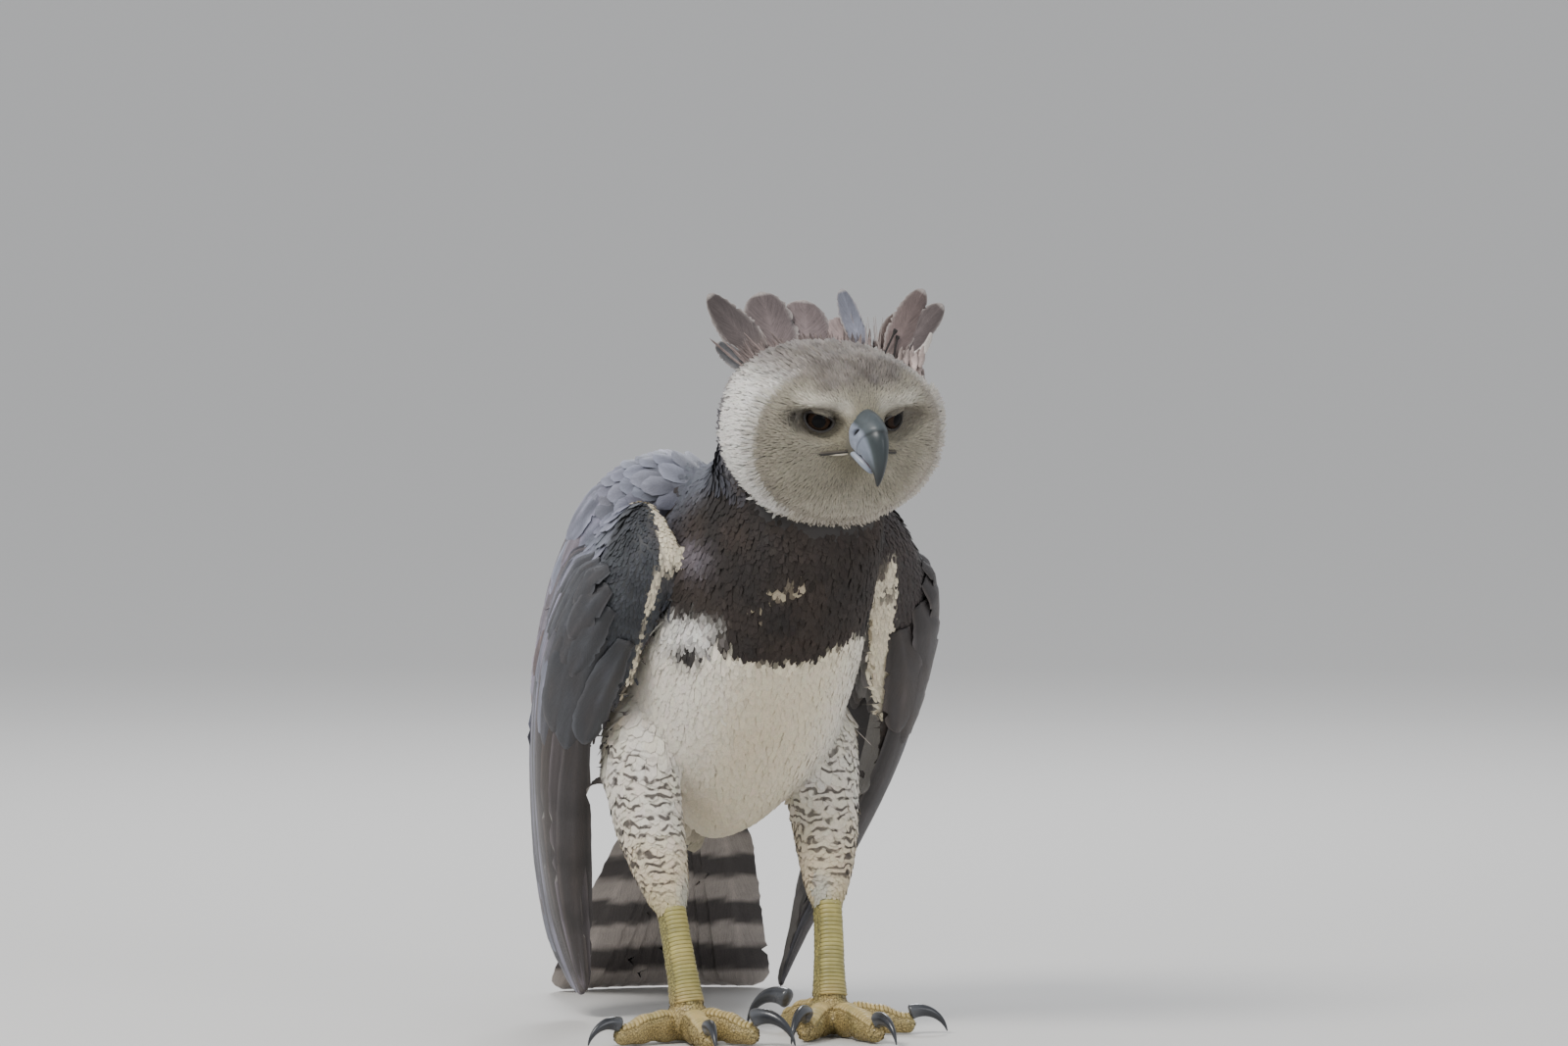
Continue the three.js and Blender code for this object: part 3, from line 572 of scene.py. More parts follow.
skin.data.vertices.foreach_set("co", M(skin_p).astype(np.float32).ravel())
skin.data.update()
near_p = raw_first[qf]
skin_label, skin_side, skin_t, skin_a = raw_label[near_p], raw_side[near_p], raw_t[near_p], raw_a[near_p]
skin_way = raw_way[near_p]
skin_n = np.empty(len(skin_p) * 3, np.float32)
skin.data.vertex_normals.foreach_get("vector", skin_n)
skin_n = skin_n.reshape(-1, 3).astype(float)
skin_f = tri_faces(skin.data)
skin.data.polygons.foreach_set("use_smooth", np.ones(len(skin.data.polygons), bool))
skin_tree = BVHTree.FromPolygons([tuple(v) for v in skin_p], [tuple(map(int, f)) for f in skin_f])
print("skin", len(skin_p), "points", len(skin_f), "triangles")


# ---------------------------------------------------------------- lie of the coat
def away_from_bill(p):
    """On the head the coat lies away from the bill's root, and down the nape behind."""
    h = head_in(p)
    way = h - (0, -66, 12)
    back = smooth(h[..., 1], 20, 80)[..., None]
    way = unit(way) + back * np.array([0, 0, -1.2]) + np.array([0, 0.25, 0])
    return way @ HEAD_R.T


head_w = (skin_label == LABEL["head"])[:, None]
flow = np.where(head_w, away_from_bill(skin_p), skin_way)
body_w = np.isin(skin_label, [LABEL["trunk"], LABEL["neck"]])[:, None]
front = smooth(-skin_n[:, 1:2], -0.2, 0.6)
flow = np.where(body_w, unit(flow) + front * np.array([0, 0.1, -0.9]) + np.array([0, 0, -0.25]), flow)
thigh_w = (skin_label == LABEL["thigh"])[:, None]
flow = np.where(thigh_w, unit(flow) + np.array([0, 0.1, -0.3]), flow)
flow = unit(flow - skin_n * dot(flow, skin_n))
for _ in range(8):
    flow = relax(flow, skin_e, 3, None, 0.8)
    flow = unit(flow - skin_n * dot(flow, skin_n))

skin_area = 0.5 * np.linalg.norm(np.cross(skin_p[skin_f[:, 1]] - skin_p[skin_f[:, 0]], skin_p[skin_f[:, 2]] - skin_p[skin_f[:, 0]]), axis=1)


class Roots:
    """Places on the skin where vanes grow."""

    def __init__(self, **k):
        self.__dict__.update(k)

    def take(self, keep):
        return Roots(**{k: v[keep] for k, v in self.__dict__.items()})

    def __len__(self):
        return len(self.p)


def scatter(where, spacing, seed, most=60000, tries=3.0):
    """Even scatter over the skin. where(points, label, side) -> 0..1, spacing(points) -> millimetres."""
    rng = np.random.default_rng(seed)
    mid = skin_p[skin_f].mean(1)
    lab, sid = skin_label[skin_f[:, 0]], skin_side[skin_f[:, 0]]
    w = np.where(where(mid, lab, sid) > 0, 1.0, 0.0) * skin_area
    if w.sum() <= 0:
        raise ValueError("nowhere to scatter")
    r = spacing(mid)
    expect = (0.8 * w / (r * r)).sum()
    count = int(min(most * tries, expect * tries))
    chance = w / (r * r)
    c = np.cumsum(chance)
    pick = np.minimum(np.searchsorted(c, rng.random(count) * c[-1]), len(skin_f) - 1)
    b = rng.random((count, 2))
    b = np.where(b.sum(1, keepdims=True) > 1, 1 - b, b)
    b = np.concatenate([1 - b.sum(1, keepdims=True), b], 1)[..., None]
    f = skin_f[pick]
    p = (skin_p[f] * b).sum(1)
    big = b[..., 0].argmax(1)
    at = f[np.arange(count), big]
    roots = Roots(p=p, n=unit((skin_n[f] * b).sum(1)), way=unit((flow[f] * b).sum(1)), label=skin_label[at], side=skin_side[at], t=skin_t[at], a=skin_a[at])
    roots = roots.take(where(roots.p, roots.label, roots.side) > rng.random(len(roots)) * 0.999)
    r = spacing(roots.p)
    tree = KDTree(len(roots))
    pts = roots.p
    for i in range(len(pts)):
        tree.insert(pts[i], i)
    tree.balance()
    alive, kept = bytearray(b"\x01" * len(pts)), []
    for i in range(len(pts)):
        if alive[i]:
            kept.append(i)
            for _, j, _ in tree.find_range(pts[i], float(r[i])):
                alive[j] = 0
            if len(kept) >= most:
                break
    return roots.take(np.array(kept))


# ---------------------------------------------------------------- vanes
def vane_pattern(rows, cols):
    """Faces of one closed vane: an arched upper sheet and a flat lower one."""
    at = lambda r, j: 1 + r * cols + j
    tip = 1 + rows * cols
    up = [(0, at(0, j + 1), at(0, j)) for j in range(cols - 1)]
    for r in range(rows - 1):
        for j in range(cols - 1):
            up += [(at(r, j), at(r, j + 1), at(r + 1, j + 1)), (at(r, j), at(r + 1, j + 1), at(r + 1, j))]
    up += [(tip, at(rows - 1, j), at(rows - 1, j + 1)) for j in range(cols - 1)]
    base = tip + 1  # the lower sheet has its own points: root, edge pairs, tip
    lo = lambda r, right: base + 1 + 2 * r + right
    end = base + 1 + 2 * rows
    down = [(base, lo(0, 0), lo(0, 1))]
    for r in range(rows - 1):
        down += [(lo(r, 0), lo(r + 1, 0), lo(r + 1, 1)), (lo(r, 0), lo(r + 1, 1), lo(r, 1))]
    down += [(end, lo(rows - 1, 1), lo(rows - 1, 0))]
    copy = [0] + [x for r in range(rows) for x in (at(r, 0), at(r, cols - 1))] + [tip]
    return np.array(up + down), np.array(copy), tip + 1


def build_vanes(roots, length, width, shape, rise, seed, sink=1.2, camber=0.22, curl=0.0, yaw=6.0, wave=0.0, serrate=0.0, hug=True, tip_back=0.0, power=0.8):
    """Vanes on their roots. shape: (places along, half-width factors, columns). Returns points, faces and, for
    each point, its vane, place along (0..1) and place across (-1..1)."""
    rng = np.random.default_rng(seed)
    n = len(roots)
    s, b, cols = np.asarray(shape[0], float), np.asarray(shape[1], float), shape[2]
    rows = len(s)
    length, width, rise = (np.broadcast_to(np.asarray(x, float), (n,)) for x in (length, width, rise))
    length = length * rng.uniform(0.86, 1.14, n)
    turn = np.radians(rng.normal(0, yaw, n))[:, None]
    side0 = unit(np.cross(roots.way, roots.n))
    way = unit(roots.way * np.cos(turn) + side0 * np.sin(turn))
    end = roots.p + way * length[:, None]
    if hug:
        q, qn, _ = nearest(skin_tree, end)
        ok = (np.linalg.norm(q - end, axis=1) < length * 0.55)[:, None] & (dot(qn, roots.n) > 0.1)
        q, qn = np.where(ok, q, end), np.where(ok, qn, roots.n)
        flip = dot(qn, roots.n) < 0
        qn = np.where(flip, roots.n, qn)
    else:
        q, qn = end, roots.n
    ctrl = roots.p + way * (length * 0.5)[:, None]
    w = np.linspace(-1, 1, cols)
    S = np.concatenate([[0.0], np.repeat(s, cols), [1.0]])
    Wc = np.concatenate([[0.0], np.tile(w, rows), [0.0]])
    B = np.concatenate([[0.0], np.repeat(b, cols), [0.0]])
    K = len(S)
    Sn = np.tile(S, (n, 1))
    Bn = np.tile(B, (n, 1))
    if wave:
        Sn = Sn + rng.normal(0, wave, (n, K)) * (np.abs(Wc) > 0.9) * (S > 0.2) * (S < 1)
        Bn = Bn * (1 + rng.normal(0, wave * 1.5, (n, K)) * (np.abs(Wc) > 0.9))
    if serrate:
        row = np.concatenate([[0], np.repeat(np.arange(rows), cols), [0]])
        edge = (np.abs(Wc) > 0.9)
        sign = np.where(row % 2 == 0, 1.0, -1.0)
        Bn = Bn * (1 + edge * sign * serrate)
        Sn = Sn + edge * sign * serrate * 0.09
        # the last row's inner columns run past the tip's notch
        last = (row == rows - 1) & (S < 1)
        Sn = Sn + last * (np.where(np.arange(K) % 2 == 0, 0.5, -0.5) * serrate * 0.22)
    Sn[:, -1] -= tip_back
    S3 = Sn[..., None]
    P, C, Q = roots.p[:, None], ctrl[:, None], q[:, None]
    X = (1 - S3) ** 2 * P + 2 * S3 * (1 - S3) * C + S3 ** 2 * Q
    X = np.where(S3 > 1, Q + (S3 - 1) * 2 * (Q - C), X)
    tangent = unit(2 * (1 - S3) * (C - P) + 2 * S3 * (Q - C))
    normal = unit(roots.n[:, None] * (1 - S3) + qn[:, None] * S3)
    across = unit(np.cross(tangent, normal))
    high = -sink + (rise[:, None] + sink) * np.clip(Sn, 0, 1.2) ** power * (1 + 0.12 * rng.normal(0, 1, (n, 1)))
    half = (width[:, None] * 0.5) * Bn
    bend = rng.normal(0, 1, (n, 1)) * curl
    high = high - camber * half * Wc ** 2 * 2.0 * 0.5
    P3 = X + across * (half * Wc + bend * length[:, None] * Sn ** 2)[..., None] + normal * high[..., None]
    faces, copy, top = vane_pattern(rows, cols)
    P3 = np.concatenate([P3, P3[:, copy]], 1)
    along_, across_ = np.concatenate([Sn, Sn[:, copy]], 1), np.tile(np.concatenate([Wc, Wc[copy]]), (n, 1))
    total = P3.shape[1]
    F = (faces[None] + (np.arange(n) * total)[:, None, None]).reshape(-1, 3)
    vane = np.repeat(np.arange(n), total)
    under = np.tile(np.concatenate([np.zeros(top, bool), np.ones(len(copy), bool)]), n)
    return P3.reshape(-1, 3), F, vane, along_.ravel(), across_.ravel(), under


def unwrap(p, label):
    """A flat map of the skin's own shape: round each body and along it. p: root places."""
    if label in ("head", "face"):
        h = head_in(p)
        ang = np.arctan2(h[:, 0], h[:, 2] - 6)
        far = np.arccos(np.clip(-h[:, 1] / np.maximum(np.linalg.norm(h - (0, 0, 6), axis=1), 1e-6), -1, 1))
        # the disc seen down its own axis, which keeps every tuft's room
        r = far / PI
        return np.stack([0.5 + 0.48 * r * np.sin(ang), 0.5 + 0.48 * r * np.cos(ang)], -1)
    lo, hi = p.min(0), p.max(0)
    mid = (lo + hi) / 2
    ang = np.arctan2(p[:, 0] - mid[0], -(p[:, 1] - mid[1]) + (p[:, 2] - mid[2]) * 0.3)
    high = (p[:, 2] - lo[2]) / max(hi[2] - lo[2], 1e-6)
    return np.stack([0.01 + 0.97 * (ang / (2 * PI) + 0.5), 0.01 + 0.97 * high], -1)


# ---------------------------------------------------------------- markings, the same on skin and coat
WHITE, CREAM, TAN = np.array([0.70, 0.68, 0.64]), np.array([0.66, 0.59, 0.45]), np.array([0.42, 0.30, 0.16])
SLATE, SHEEN_BLUE, COAL = np.array([0.100, 0.106, 0.126]), np.array([0.212, 0.220, 0.282]), np.array([0.027, 0.024, 0.023])
BROWN = np.array([0.050, 0.038, 0.032])


def blend(a, b, w):
    w = np.asarray(w)[..., None]
    return a * (1 - w) + b * w


def head_colour(p, n=None):
    h = head_in(p)
    x, y, z = h[:, 0], h[:, 1], h[:, 2]
    r = np.hypot(x, z - 5)
    blot, fine = noise(p, 16, 3), noise(p, 5, 4)
    c = np.tile(np.array([0.250, 0.228, 0.176]), (len(p), 1))
    # lores and the skin round the bill are duller, lower cheeks and chin paler
    c = blend(c, np.array([0.205, 0.185, 0.13]), smooth(r, 42, 22) * 0.8)
    c = blend(c, np.array([0.40, 0.365, 0.30]), smooth(-z, 34, 68) * 0.75)
    c = blend(c, np.array([0.41, 0.365, 0.31]), smooth(r + 8 * blot, 62, 92) * smooth(x, -60, 40) * 0.7)
    c = c * (1 + 0.09 * noise(p, 7, 5))[:, None]
    # brow band, from above the eye's outer corner down to the bill
    line = z - (39 + (np.abs(x) - 33) * 0.10)
    brow = np.exp(-((line / 7.5) ** 2)) * smooth(np.abs(x), 8, 18) * smooth(np.abs(x), 66, 48) * (y < -30)
    c = blend(c, np.array([0.47, 0.44, 0.37]), brow * 0.85)
    # forehead and crown, mottled and darker
    crown = smooth(z + blot * 7 - np.abs(x) * 0.06, 43, 60)
    dark = blend(np.array([0.175, 0.152, 0.128])[None], np.array([0.080, 0.069, 0.062])[None], 0.5 + 0.6 * noise(p, 10, 8))
    c = blend(c, dark, crown)
    c = blend(c, np.array([0.36, 0.33, 0.31]), crown * np.clip(0.5 + 0.6 * noise(p, 8, 15), 0, 1) * 0.28)
    # eye stripe
    back = smooth(np.abs(x), 40, 50) * smooth(np.abs(x), 92, 66)
    stripe = np.exp(-(((z - 25 + (np.abs(x) - 40) * 0.10) / 5.5) ** 2)) * back * (y < -20)
    c = blend(c, np.array([0.145, 0.125, 0.10]), stripe * 0.55)
    # a dark ring round the eye: painted shade in the socket under the brow
    ring = np.hypot((np.abs(x) - 37) / 1.35, z - 22)
    c = blend(c, np.array([0.10, 0.085, 0.065]), smooth(ring, 17, 11) * (y < -20) * 0.55)
    # ruff: white outside the furrow
    # on the head's +x side the ruff is painted only about half as white: painted shade on that side, painted light on
    # the other
    side = smooth(np.abs(x), 34, 60) * np.where(x > 0, 0.55, 1.0)
    ruff = smooth(y, -40, -30) * smooth(z, 72, 40) * np.clip(side, 0, 1)
    white = blend(WHITE[None] * 0.94, np.array([0.40, 0.375, 0.36])[None], np.clip(0.3 + 0.7 * blot + 0.3 * fine, 0, 1) * 0.45)
    c = blend(c, white, ruff)
    low = smooth(y, -46, -34) * smooth(-z, 36, 60) * (1 - np.clip(side, 0, 1))
    c = blend(c, np.array([0.40, 0.36, 0.30]), low * 0.8)
    # the furrow between disc and ruff is painted darker: painted shade in the groove
    furrow = np.exp(-(((y + 41) / 4.0) ** 2)) * smooth(z, 70, 30)
    c = blend(c, np.array([0.22, 0.195, 0.16]), furrow * 0.55)
    # behind the ruff the head turns grey, then slate on the nape
    grey = blend(np.array([0.21, 0.19, 0.18])[None], np.array([0.12, 0.112, 0.115])[None], smooth(y, 30, 80))
    c = blend(c, grey, smooth(y + blot * 6, 2, 34))
    c = blend(c, np.array([0.070, 0.066, 0.074]), smooth(y + blot * 4, 3, 17) * smooth(z, 42, 8))
    return c * (1 + 0.07 * fine + 0.05 * blot)[:, None]


def band_weight(p):
    """1 in the dark breast band, 0 on the belly, ragged along its lower edge."""
    x = p[:, 0]
    edge = BAND_EDGE + 12 + 31 * (np.abs(x + 15) / 80) ** 2
    edge = edge - 26 * smooth(x, 62, 84) + 5 * noise(p * (1, 1, 0.4), 17, 21) + 3.5 * noise(p * (1, 1, 0.4), 6, 22)
    return np.clip((p[:, 2] - edge) / 3 + 0.5, 0, 1)


def trunk_colour(p, n):
    x, y, z = p.T
    blot, fine = noise(p, 26, 31), noise(p, 7, 32)
    belly = blend(CREAM[None] * 1.02, WHITE[None], smooth(np.abs(x), 30, 84) * 0.5)
    stain = np.exp(-(((x + 12) / 34) ** 2 + ((z - 300) / 46) ** 2)) * (0.6 + 0.4 * blot)
    belly = blend(belly, TAN * 1.15, np.clip(stain, 0, 1) * 0.30)
    belly = belly * (1 + 0.05 * fine)[:, None]
    band = blend(COAL[None], BROWN[None] * 0.9, 0.5 + 0.5 * blot)
    c = blend(belly, band, band_weight(p))
    # pale flecks in the band, a white notch beside the wing with one dark fleck
    fleck = 0
    for fx, fz, s in ((-26, 450, 8), (-34, 441, 6), (-19, 447, 5), (-48, 424, 4)):
        fleck = fleck + np.exp(-(((x - fx) / s) ** 2 + ((z - fz) / (s * 1.1)) ** 2))
    c = blend(c, np.array([0.40, 0.34, 0.24]), smooth(fleck + 0.5 * fine, 0.45, 0.9) * (n[:, 1] < 0.1) * 0.8)
    notch = np.exp(-(((x + 86) / 13) ** 4 + ((z - 396) / 20) ** 4)) * (y < 60)
    c = blend(c, WHITE[None] * 0.9, notch)
    dark = np.exp(-(((x + 85) / 6.5) ** 2 + ((z - 379) / 10) ** 2)) * (y < 60)
    c = blend(c, COAL[None] * 1.3, np.clip(dark * 1.4, 0, 1))
    # slate on the back, black-blue at the neck's sides
    back = smooth(n[:, 1] * 0.6 + n[:, 2] * 0.8, 0.1, 0.6) * smooth(z, 190, 240)
    slate = blend(SLATE[None], SHEEN_BLUE[None] * 0.8, smooth(blot, 0.0, 0.9) * 0.6)
    c = blend(c, slate, back)
    lilac = np.exp(-(((x + 86) / 5.5) ** 2 + ((z - 470) / 14) ** 2)) * (n[:, 1] < 0.3)
    return blend(c, np.array([0.150, 0.132, 0.148]), np.clip(lilac, 0, 1) * 0.8)


def neck_colour(p, n):
    x, y, z = p.T
    blot = noise(p, 14, 41)
    c = blend(COAL[None], BROWN[None], 0.5 + 0.5 * blot)
    side = smooth(np.abs(x - 4), 46, 70) + smooth(n[:, 1], 0.0, 0.5)
    c = blend(c, np.array([0.044, 0.045, 0.055])[None] * (1 + 0.25 * blot)[:, None], np.clip(side, 0, 1))
    chin = smooth(z, 515, 545) * smooth(-y, 90, 130)
    c = blend(c, np.array([0.085, 0.064, 0.048])[None], chin * 0.8)
    return blend(c, np.array([0.19, 0.155, 0.115])[None], smooth(z, 500, 524) * smooth(-y, 80, 120) * smooth(np.abs(x), 52, 34) * 0.45)


def wing_place(t, a):
    k = a / PI
    return np.where(k <= 1, k, 2 - k), t * COVERTS_END, k <= 1


# where the right wing's edge lies against the flank, from low to high
WING_EDGE = np.array([[-122, 45, 316], [-120, 34, 335], [-117, 16, 364], [-118, 2, 383], [-118, -14, 405], [-117, -26, 418], [-116, -38, 445.0]])


def wing_colour(p, side, u, v, outer):
    blot, fine = noise(p, 24, 51), noise(p, 8, 52)
    c = blend(SLATE[None] * 1.1, SHEEN_BLUE[None], np.clip(smooth(u, 0.22, 0.45) * (0.62 + 0.5 * blot), 0, 1))
    coal = smooth(u + 0.05 * fine, 0.46, 0.30) * smooth(v, 0.60, 0.42)
    c = blend(c, np.array([0.046, 0.049, 0.055])[None] * (1 + 0.3 * fine)[:, None], coal)
    inner = smooth(u, 0.40, 0.26) * smooth(v, 0.40, 0.54)
    c = blend(c, BROWN[None] * 0.95, inner * 0.85)
    c = blend(c, np.array([0.16, 0.125, 0.115]), smooth(noise(p, 34, 53), 0.15, 0.7) * 0.35)
    brown = np.where(side > 0, 0.75, 0.0) * smooth(u, 0.6, 0.3)
    c = blend(c, np.array([0.055, 0.044, 0.04])[None], brown)
    # the marginal coverts make a cream strip down the leading edge, bitten by dark tips
    patch = smooth(v, 0.015, 0.05) * smooth(v, 0.20, 0.14)
    reach = np.where(side > 0, np.where(outer, 0.020, 0.20) * smooth(v, 0.155, 0.20) * lerp(1.0, 0.55, smooth(v, 0.25, 0.45)),
                     np.where(outer, 0.003 + 0.015 * patch, 0.004 + 0.056 * patch ))
    reach = reach * smooth(v, 0.53, 0.47) + 1e-4
    bite = smooth(noise(p, 13, 54) + 0.25 * fine, 0.15, 0.4) * smooth(v, 0.04, 0.12) * smooth(v, 0.40, 0.2)
    bite = bite * np.where(side > 0, 1.0, smooth(v, 0.24, 0.16))
    strip = smooth(u, reach, reach * 0.72) * (1 - 0.9 * bite) * smooth(reach, 0.0005, 0.002)
    # below its wrist patch the right wing keeps only a thin pale line along the very edge
    off = np.hypot(*(p[:, k] - np.interp(p[:, 2], WING_EDGE[:, 2], WING_EDGE[:, k]) for k in (0, 1)))
    strip = np.where(side < 0, lerp(strip, smooth(off, 4.6, 3.2) * (p[:, 2] > 306), smooth(v, 0.15, 0.19)), strip)
    c = blend(c, CREAM[None] * 0.98, strip)
    lining = blend(np.array([0.34, 0.315, 0.28])[None], WHITE[None] * 0.8, 0.5 + 0.5 * blot)
    # the lining turns dark brown low on the wing and near its leading edge over part of its length: painted shade where
    # the wing's inner face lies against the body
    lining = blend(lining, np.array([0.080, 0.064, 0.056])[None],
                   np.maximum(smooth(v, 0.38, 0.50), np.where(side > 0, smooth(v, 0.21, 0.16), smooth(v, 0.14, 0.19)) * smooth(u, 0.55, 0.4)))
    return blend(c, lining, np.where(outer, 0.0, smooth(u, reach * 0.8, reach * 1.3)) * 0.85 * smooth(u, 0.98, 0.85))


def cape_colour(p):
    blot, fine = noise(p, 26, 61), noise(p, 9, 62)
    c = blend(SLATE[None] * 1.15, SHEEN_BLUE[None], np.clip(0.55 + 0.55 * blot, 0, 1))
    c = blend(c, BROWN[None] * 1.1, smooth(noise(p, 30, 63), 0.25, 0.75) * 0.4)
    return c * (1 + 0.1 * fine)[:, None]


def thigh_colour(p, side):
    blot = noise(p, 18, 71)
    c = blend(WHITE[None] * 0.93, CREAM[None] * 0.98, np.clip(0.45 + 0.45 * smooth(p[:, 2], 260, 170) + 0.25 * blot, 0, 1))
    c = blend(c, TAN * 1.25, smooth(p[:, 2], 235, 150) * 0.35)
    c = blend(c, np.array([0.42, 0.37, 0.17]), smooth(p[:, 2], 158, 118) * 0.6)
    cx, cy = FOOT_AT[1][0] - 4, FOOT_AT[1][1] + 12
    cx, cy = np.where(side > 0, cx, FOOT_AT[-1][0] + 4), np.where(side > 0, cy, FOOT_AT[-1][1] + 12)
    oval = np.exp(-(((p[:, 0] - cx) / 10) ** 4 + ((p[:, 2] - 138) / 26) ** 4)) * (p[:, 1] < cy + 14)
    return blend(c, np.array([0.40, 0.41, 0.37]), oval * 0.7)


def leg_colour(p):
    blot, fine = noise(p, 13, 81), noise(p, 3.5, 82)
    high = smooth(p[:, 2], 26, 60)
    warm, olive = np.array([0.44, 0.33, 0.13]), np.array([0.315, 0.275, 0.082])
    c = blend(warm[None], olive[None], np.clip(high + 0.25 * blot, 0, 1))
    c = blend(c, np.array([0.27, 0.235, 0.10]), np.clip(0.25 + 0.5 * blot + 0.2 * fine, 0, 1) * 0.5)
    return c * (1 + 0.10 * fine)[:, None]


def plumage(p, label, side, t, a, n):
    """Linear colour of the bird's coat at places on its skin."""
    out = np.zeros((len(p), 3))
    u, v, outer = wing_place(t, a)
    sets = {
        "head": lambda m: head_colour(p[m]), "neck": lambda m: neck_colour(p[m], n[m]), "trunk": lambda m: trunk_colour(p[m], n[m]),
        # the rump's downward side is cream, painted down to 0.62: painted shade under the body
        "rump": lambda m: blend(cape_colour(p[m]) * 0.8, CREAM[None] * 0.62, smooth(-n[m][:, 2], -0.1, 0.25)), "wing": lambda m: wing_colour(p[m], side[m], u[m], v[m], outer[m]),
        "cape": lambda m: cape_colour(p[m]), "thigh": lambda m: thigh_colour(p[m], side[m]),
        "tarsus": lambda m: leg_colour(p[m]), "foot": lambda m: leg_colour(p[m]),
    }
    for name, f in sets.items():
        m = label == LABEL[name]
        if m.any():
            out[m] = f(m)
    # the head's places are picked out here, but the head and neck coats are not blended
    m = (label == LABEL["head"])
    return np.clip(out, 0.004, 0.95)


def bar_weight(p, label):
    """How strongly the thighs' dark crossbars show: most on the outer side and the front."""
    limit = 62 + 46 * smooth(p[:, 2], 250, 300) + 6 * smooth(p[:, 2], 190, 150)
    outside = np.maximum(smooth(np.abs(p[:, 0]) + 0.35 * p[:, 1] - 22, limit - 12, limit + 8), (p[:, 0] > 0) * 0.9)
    return (label == LABEL["thigh"]) * smooth(p[:, 2], 318, 276) * smooth(p[:, 2], 128, 160) * (0.12 + 0.88 * outside) * (1 - smooth(np.abs(p[:, 0]), 122, 128) * smooth(p[:, 1], 50, 65))


# ---------------------------------------------------------------- materials
def node_material(name):
    m = bpy.data.materials.new(name)
    m.use_nodes = True
    return m, m.node_tree.nodes, m.node_tree.links


def node(nodes, kind, **values):
    n = nodes.new(kind)
    for k, v in values.items():
        if k.startswith("in_"):
            n.inputs[int(k[3:]) if k[3:].isdigit() else k[3:]].default_value = v
        else:
            setattr(n, k, v)
    return n


def maths(nodes, links, op, a, b=None, clamp=False):
    n = nodes.new("ShaderNodeMath")
    n.operation, n.use_clamp = op, clamp
    for i, x in enumerate((a, b)):
        if x is None:
            continue
        if isinstance(x, (int, float)):
            n.inputs[i].default_value = x
        else:
            links.new(x, n.inputs[i])
    return n.outputs[0]


def mixed(nodes, links, w, a, b, how="MIX"):
    n = nodes.new("ShaderNodeMix")
    n.data_type, n.blend_type = "RGBA", how
    for i, x in ((0, w), (6, a), (7, b)):
        if isinstance(x, (int, float)):
            n.inputs[i].default_value = x
        elif isinstance(x, tuple):
            n.inputs[i].default_value = (*x, 1)
        else:
            links.new(x, n.inputs[i])
    return n.outputs[2]


def bars_on(nodes, links, colour):
    """Thin dark wavy broken bars across the thighs, by place."""
    where = node(nodes, "ShaderNodeTexCoord").outputs["Object"]
    wave = node(nodes, "ShaderNodeTexNoise", in_Scale=38.0, in_Detail=2.0)
    links.new(where, wave.inputs["Vector"])
    xyz = node(nodes, "ShaderNodeSeparateXYZ")
    links.new(where, xyz.inputs[0])
    ripple = node(nodes, "ShaderNodeTexNoise", in_Scale=105.0, in_Detail=0.0)
    links.new(where, ripple.inputs["Vector"])
    z = maths(nodes, links, "ADD", maths(nodes, links, "MULTIPLY", xyz.outputs[2], 112.0), maths(nodes, links, "MULTIPLY", wave.outputs["Fac"], 1.7))
    z = maths(nodes, links, "ADD", z, maths(nodes, links, "MULTIPLY", ripple.outputs["Fac"], 1.35))
    tri = maths(nodes, links, "PINGPONG", z, 0.5)
    line = maths(nodes, links, "MULTIPLY", maths(nodes, links, "SUBTRACT", 1.0, maths(nodes, links, "MULTIPLY", tri, 3.7), True), 2.2, True)
    gaps = node(nodes, "ShaderNodeTexNoise", in_Scale=95.0, in_Detail=1.0)
    links.new(where, gaps.inputs["Vector"])
    broken = maths(nodes, links, "MULTIPLY", maths(nodes, links, "SUBTRACT", gaps.outputs["Fac"], 0.40), 9.0, True)
    weight = node(nodes, "ShaderNodeAttribute", attribute_name="bars").outputs["Fac"]
    w = maths(nodes, links, "MULTIPLY", maths(nodes, links, "MULTIPLY", line, broken), weight)
    w = maths(nodes, links, "MULTIPLY", w, 0.9, True)
    return mixed(nodes, links, w, colour, (0.055, 0.045, 0.042))


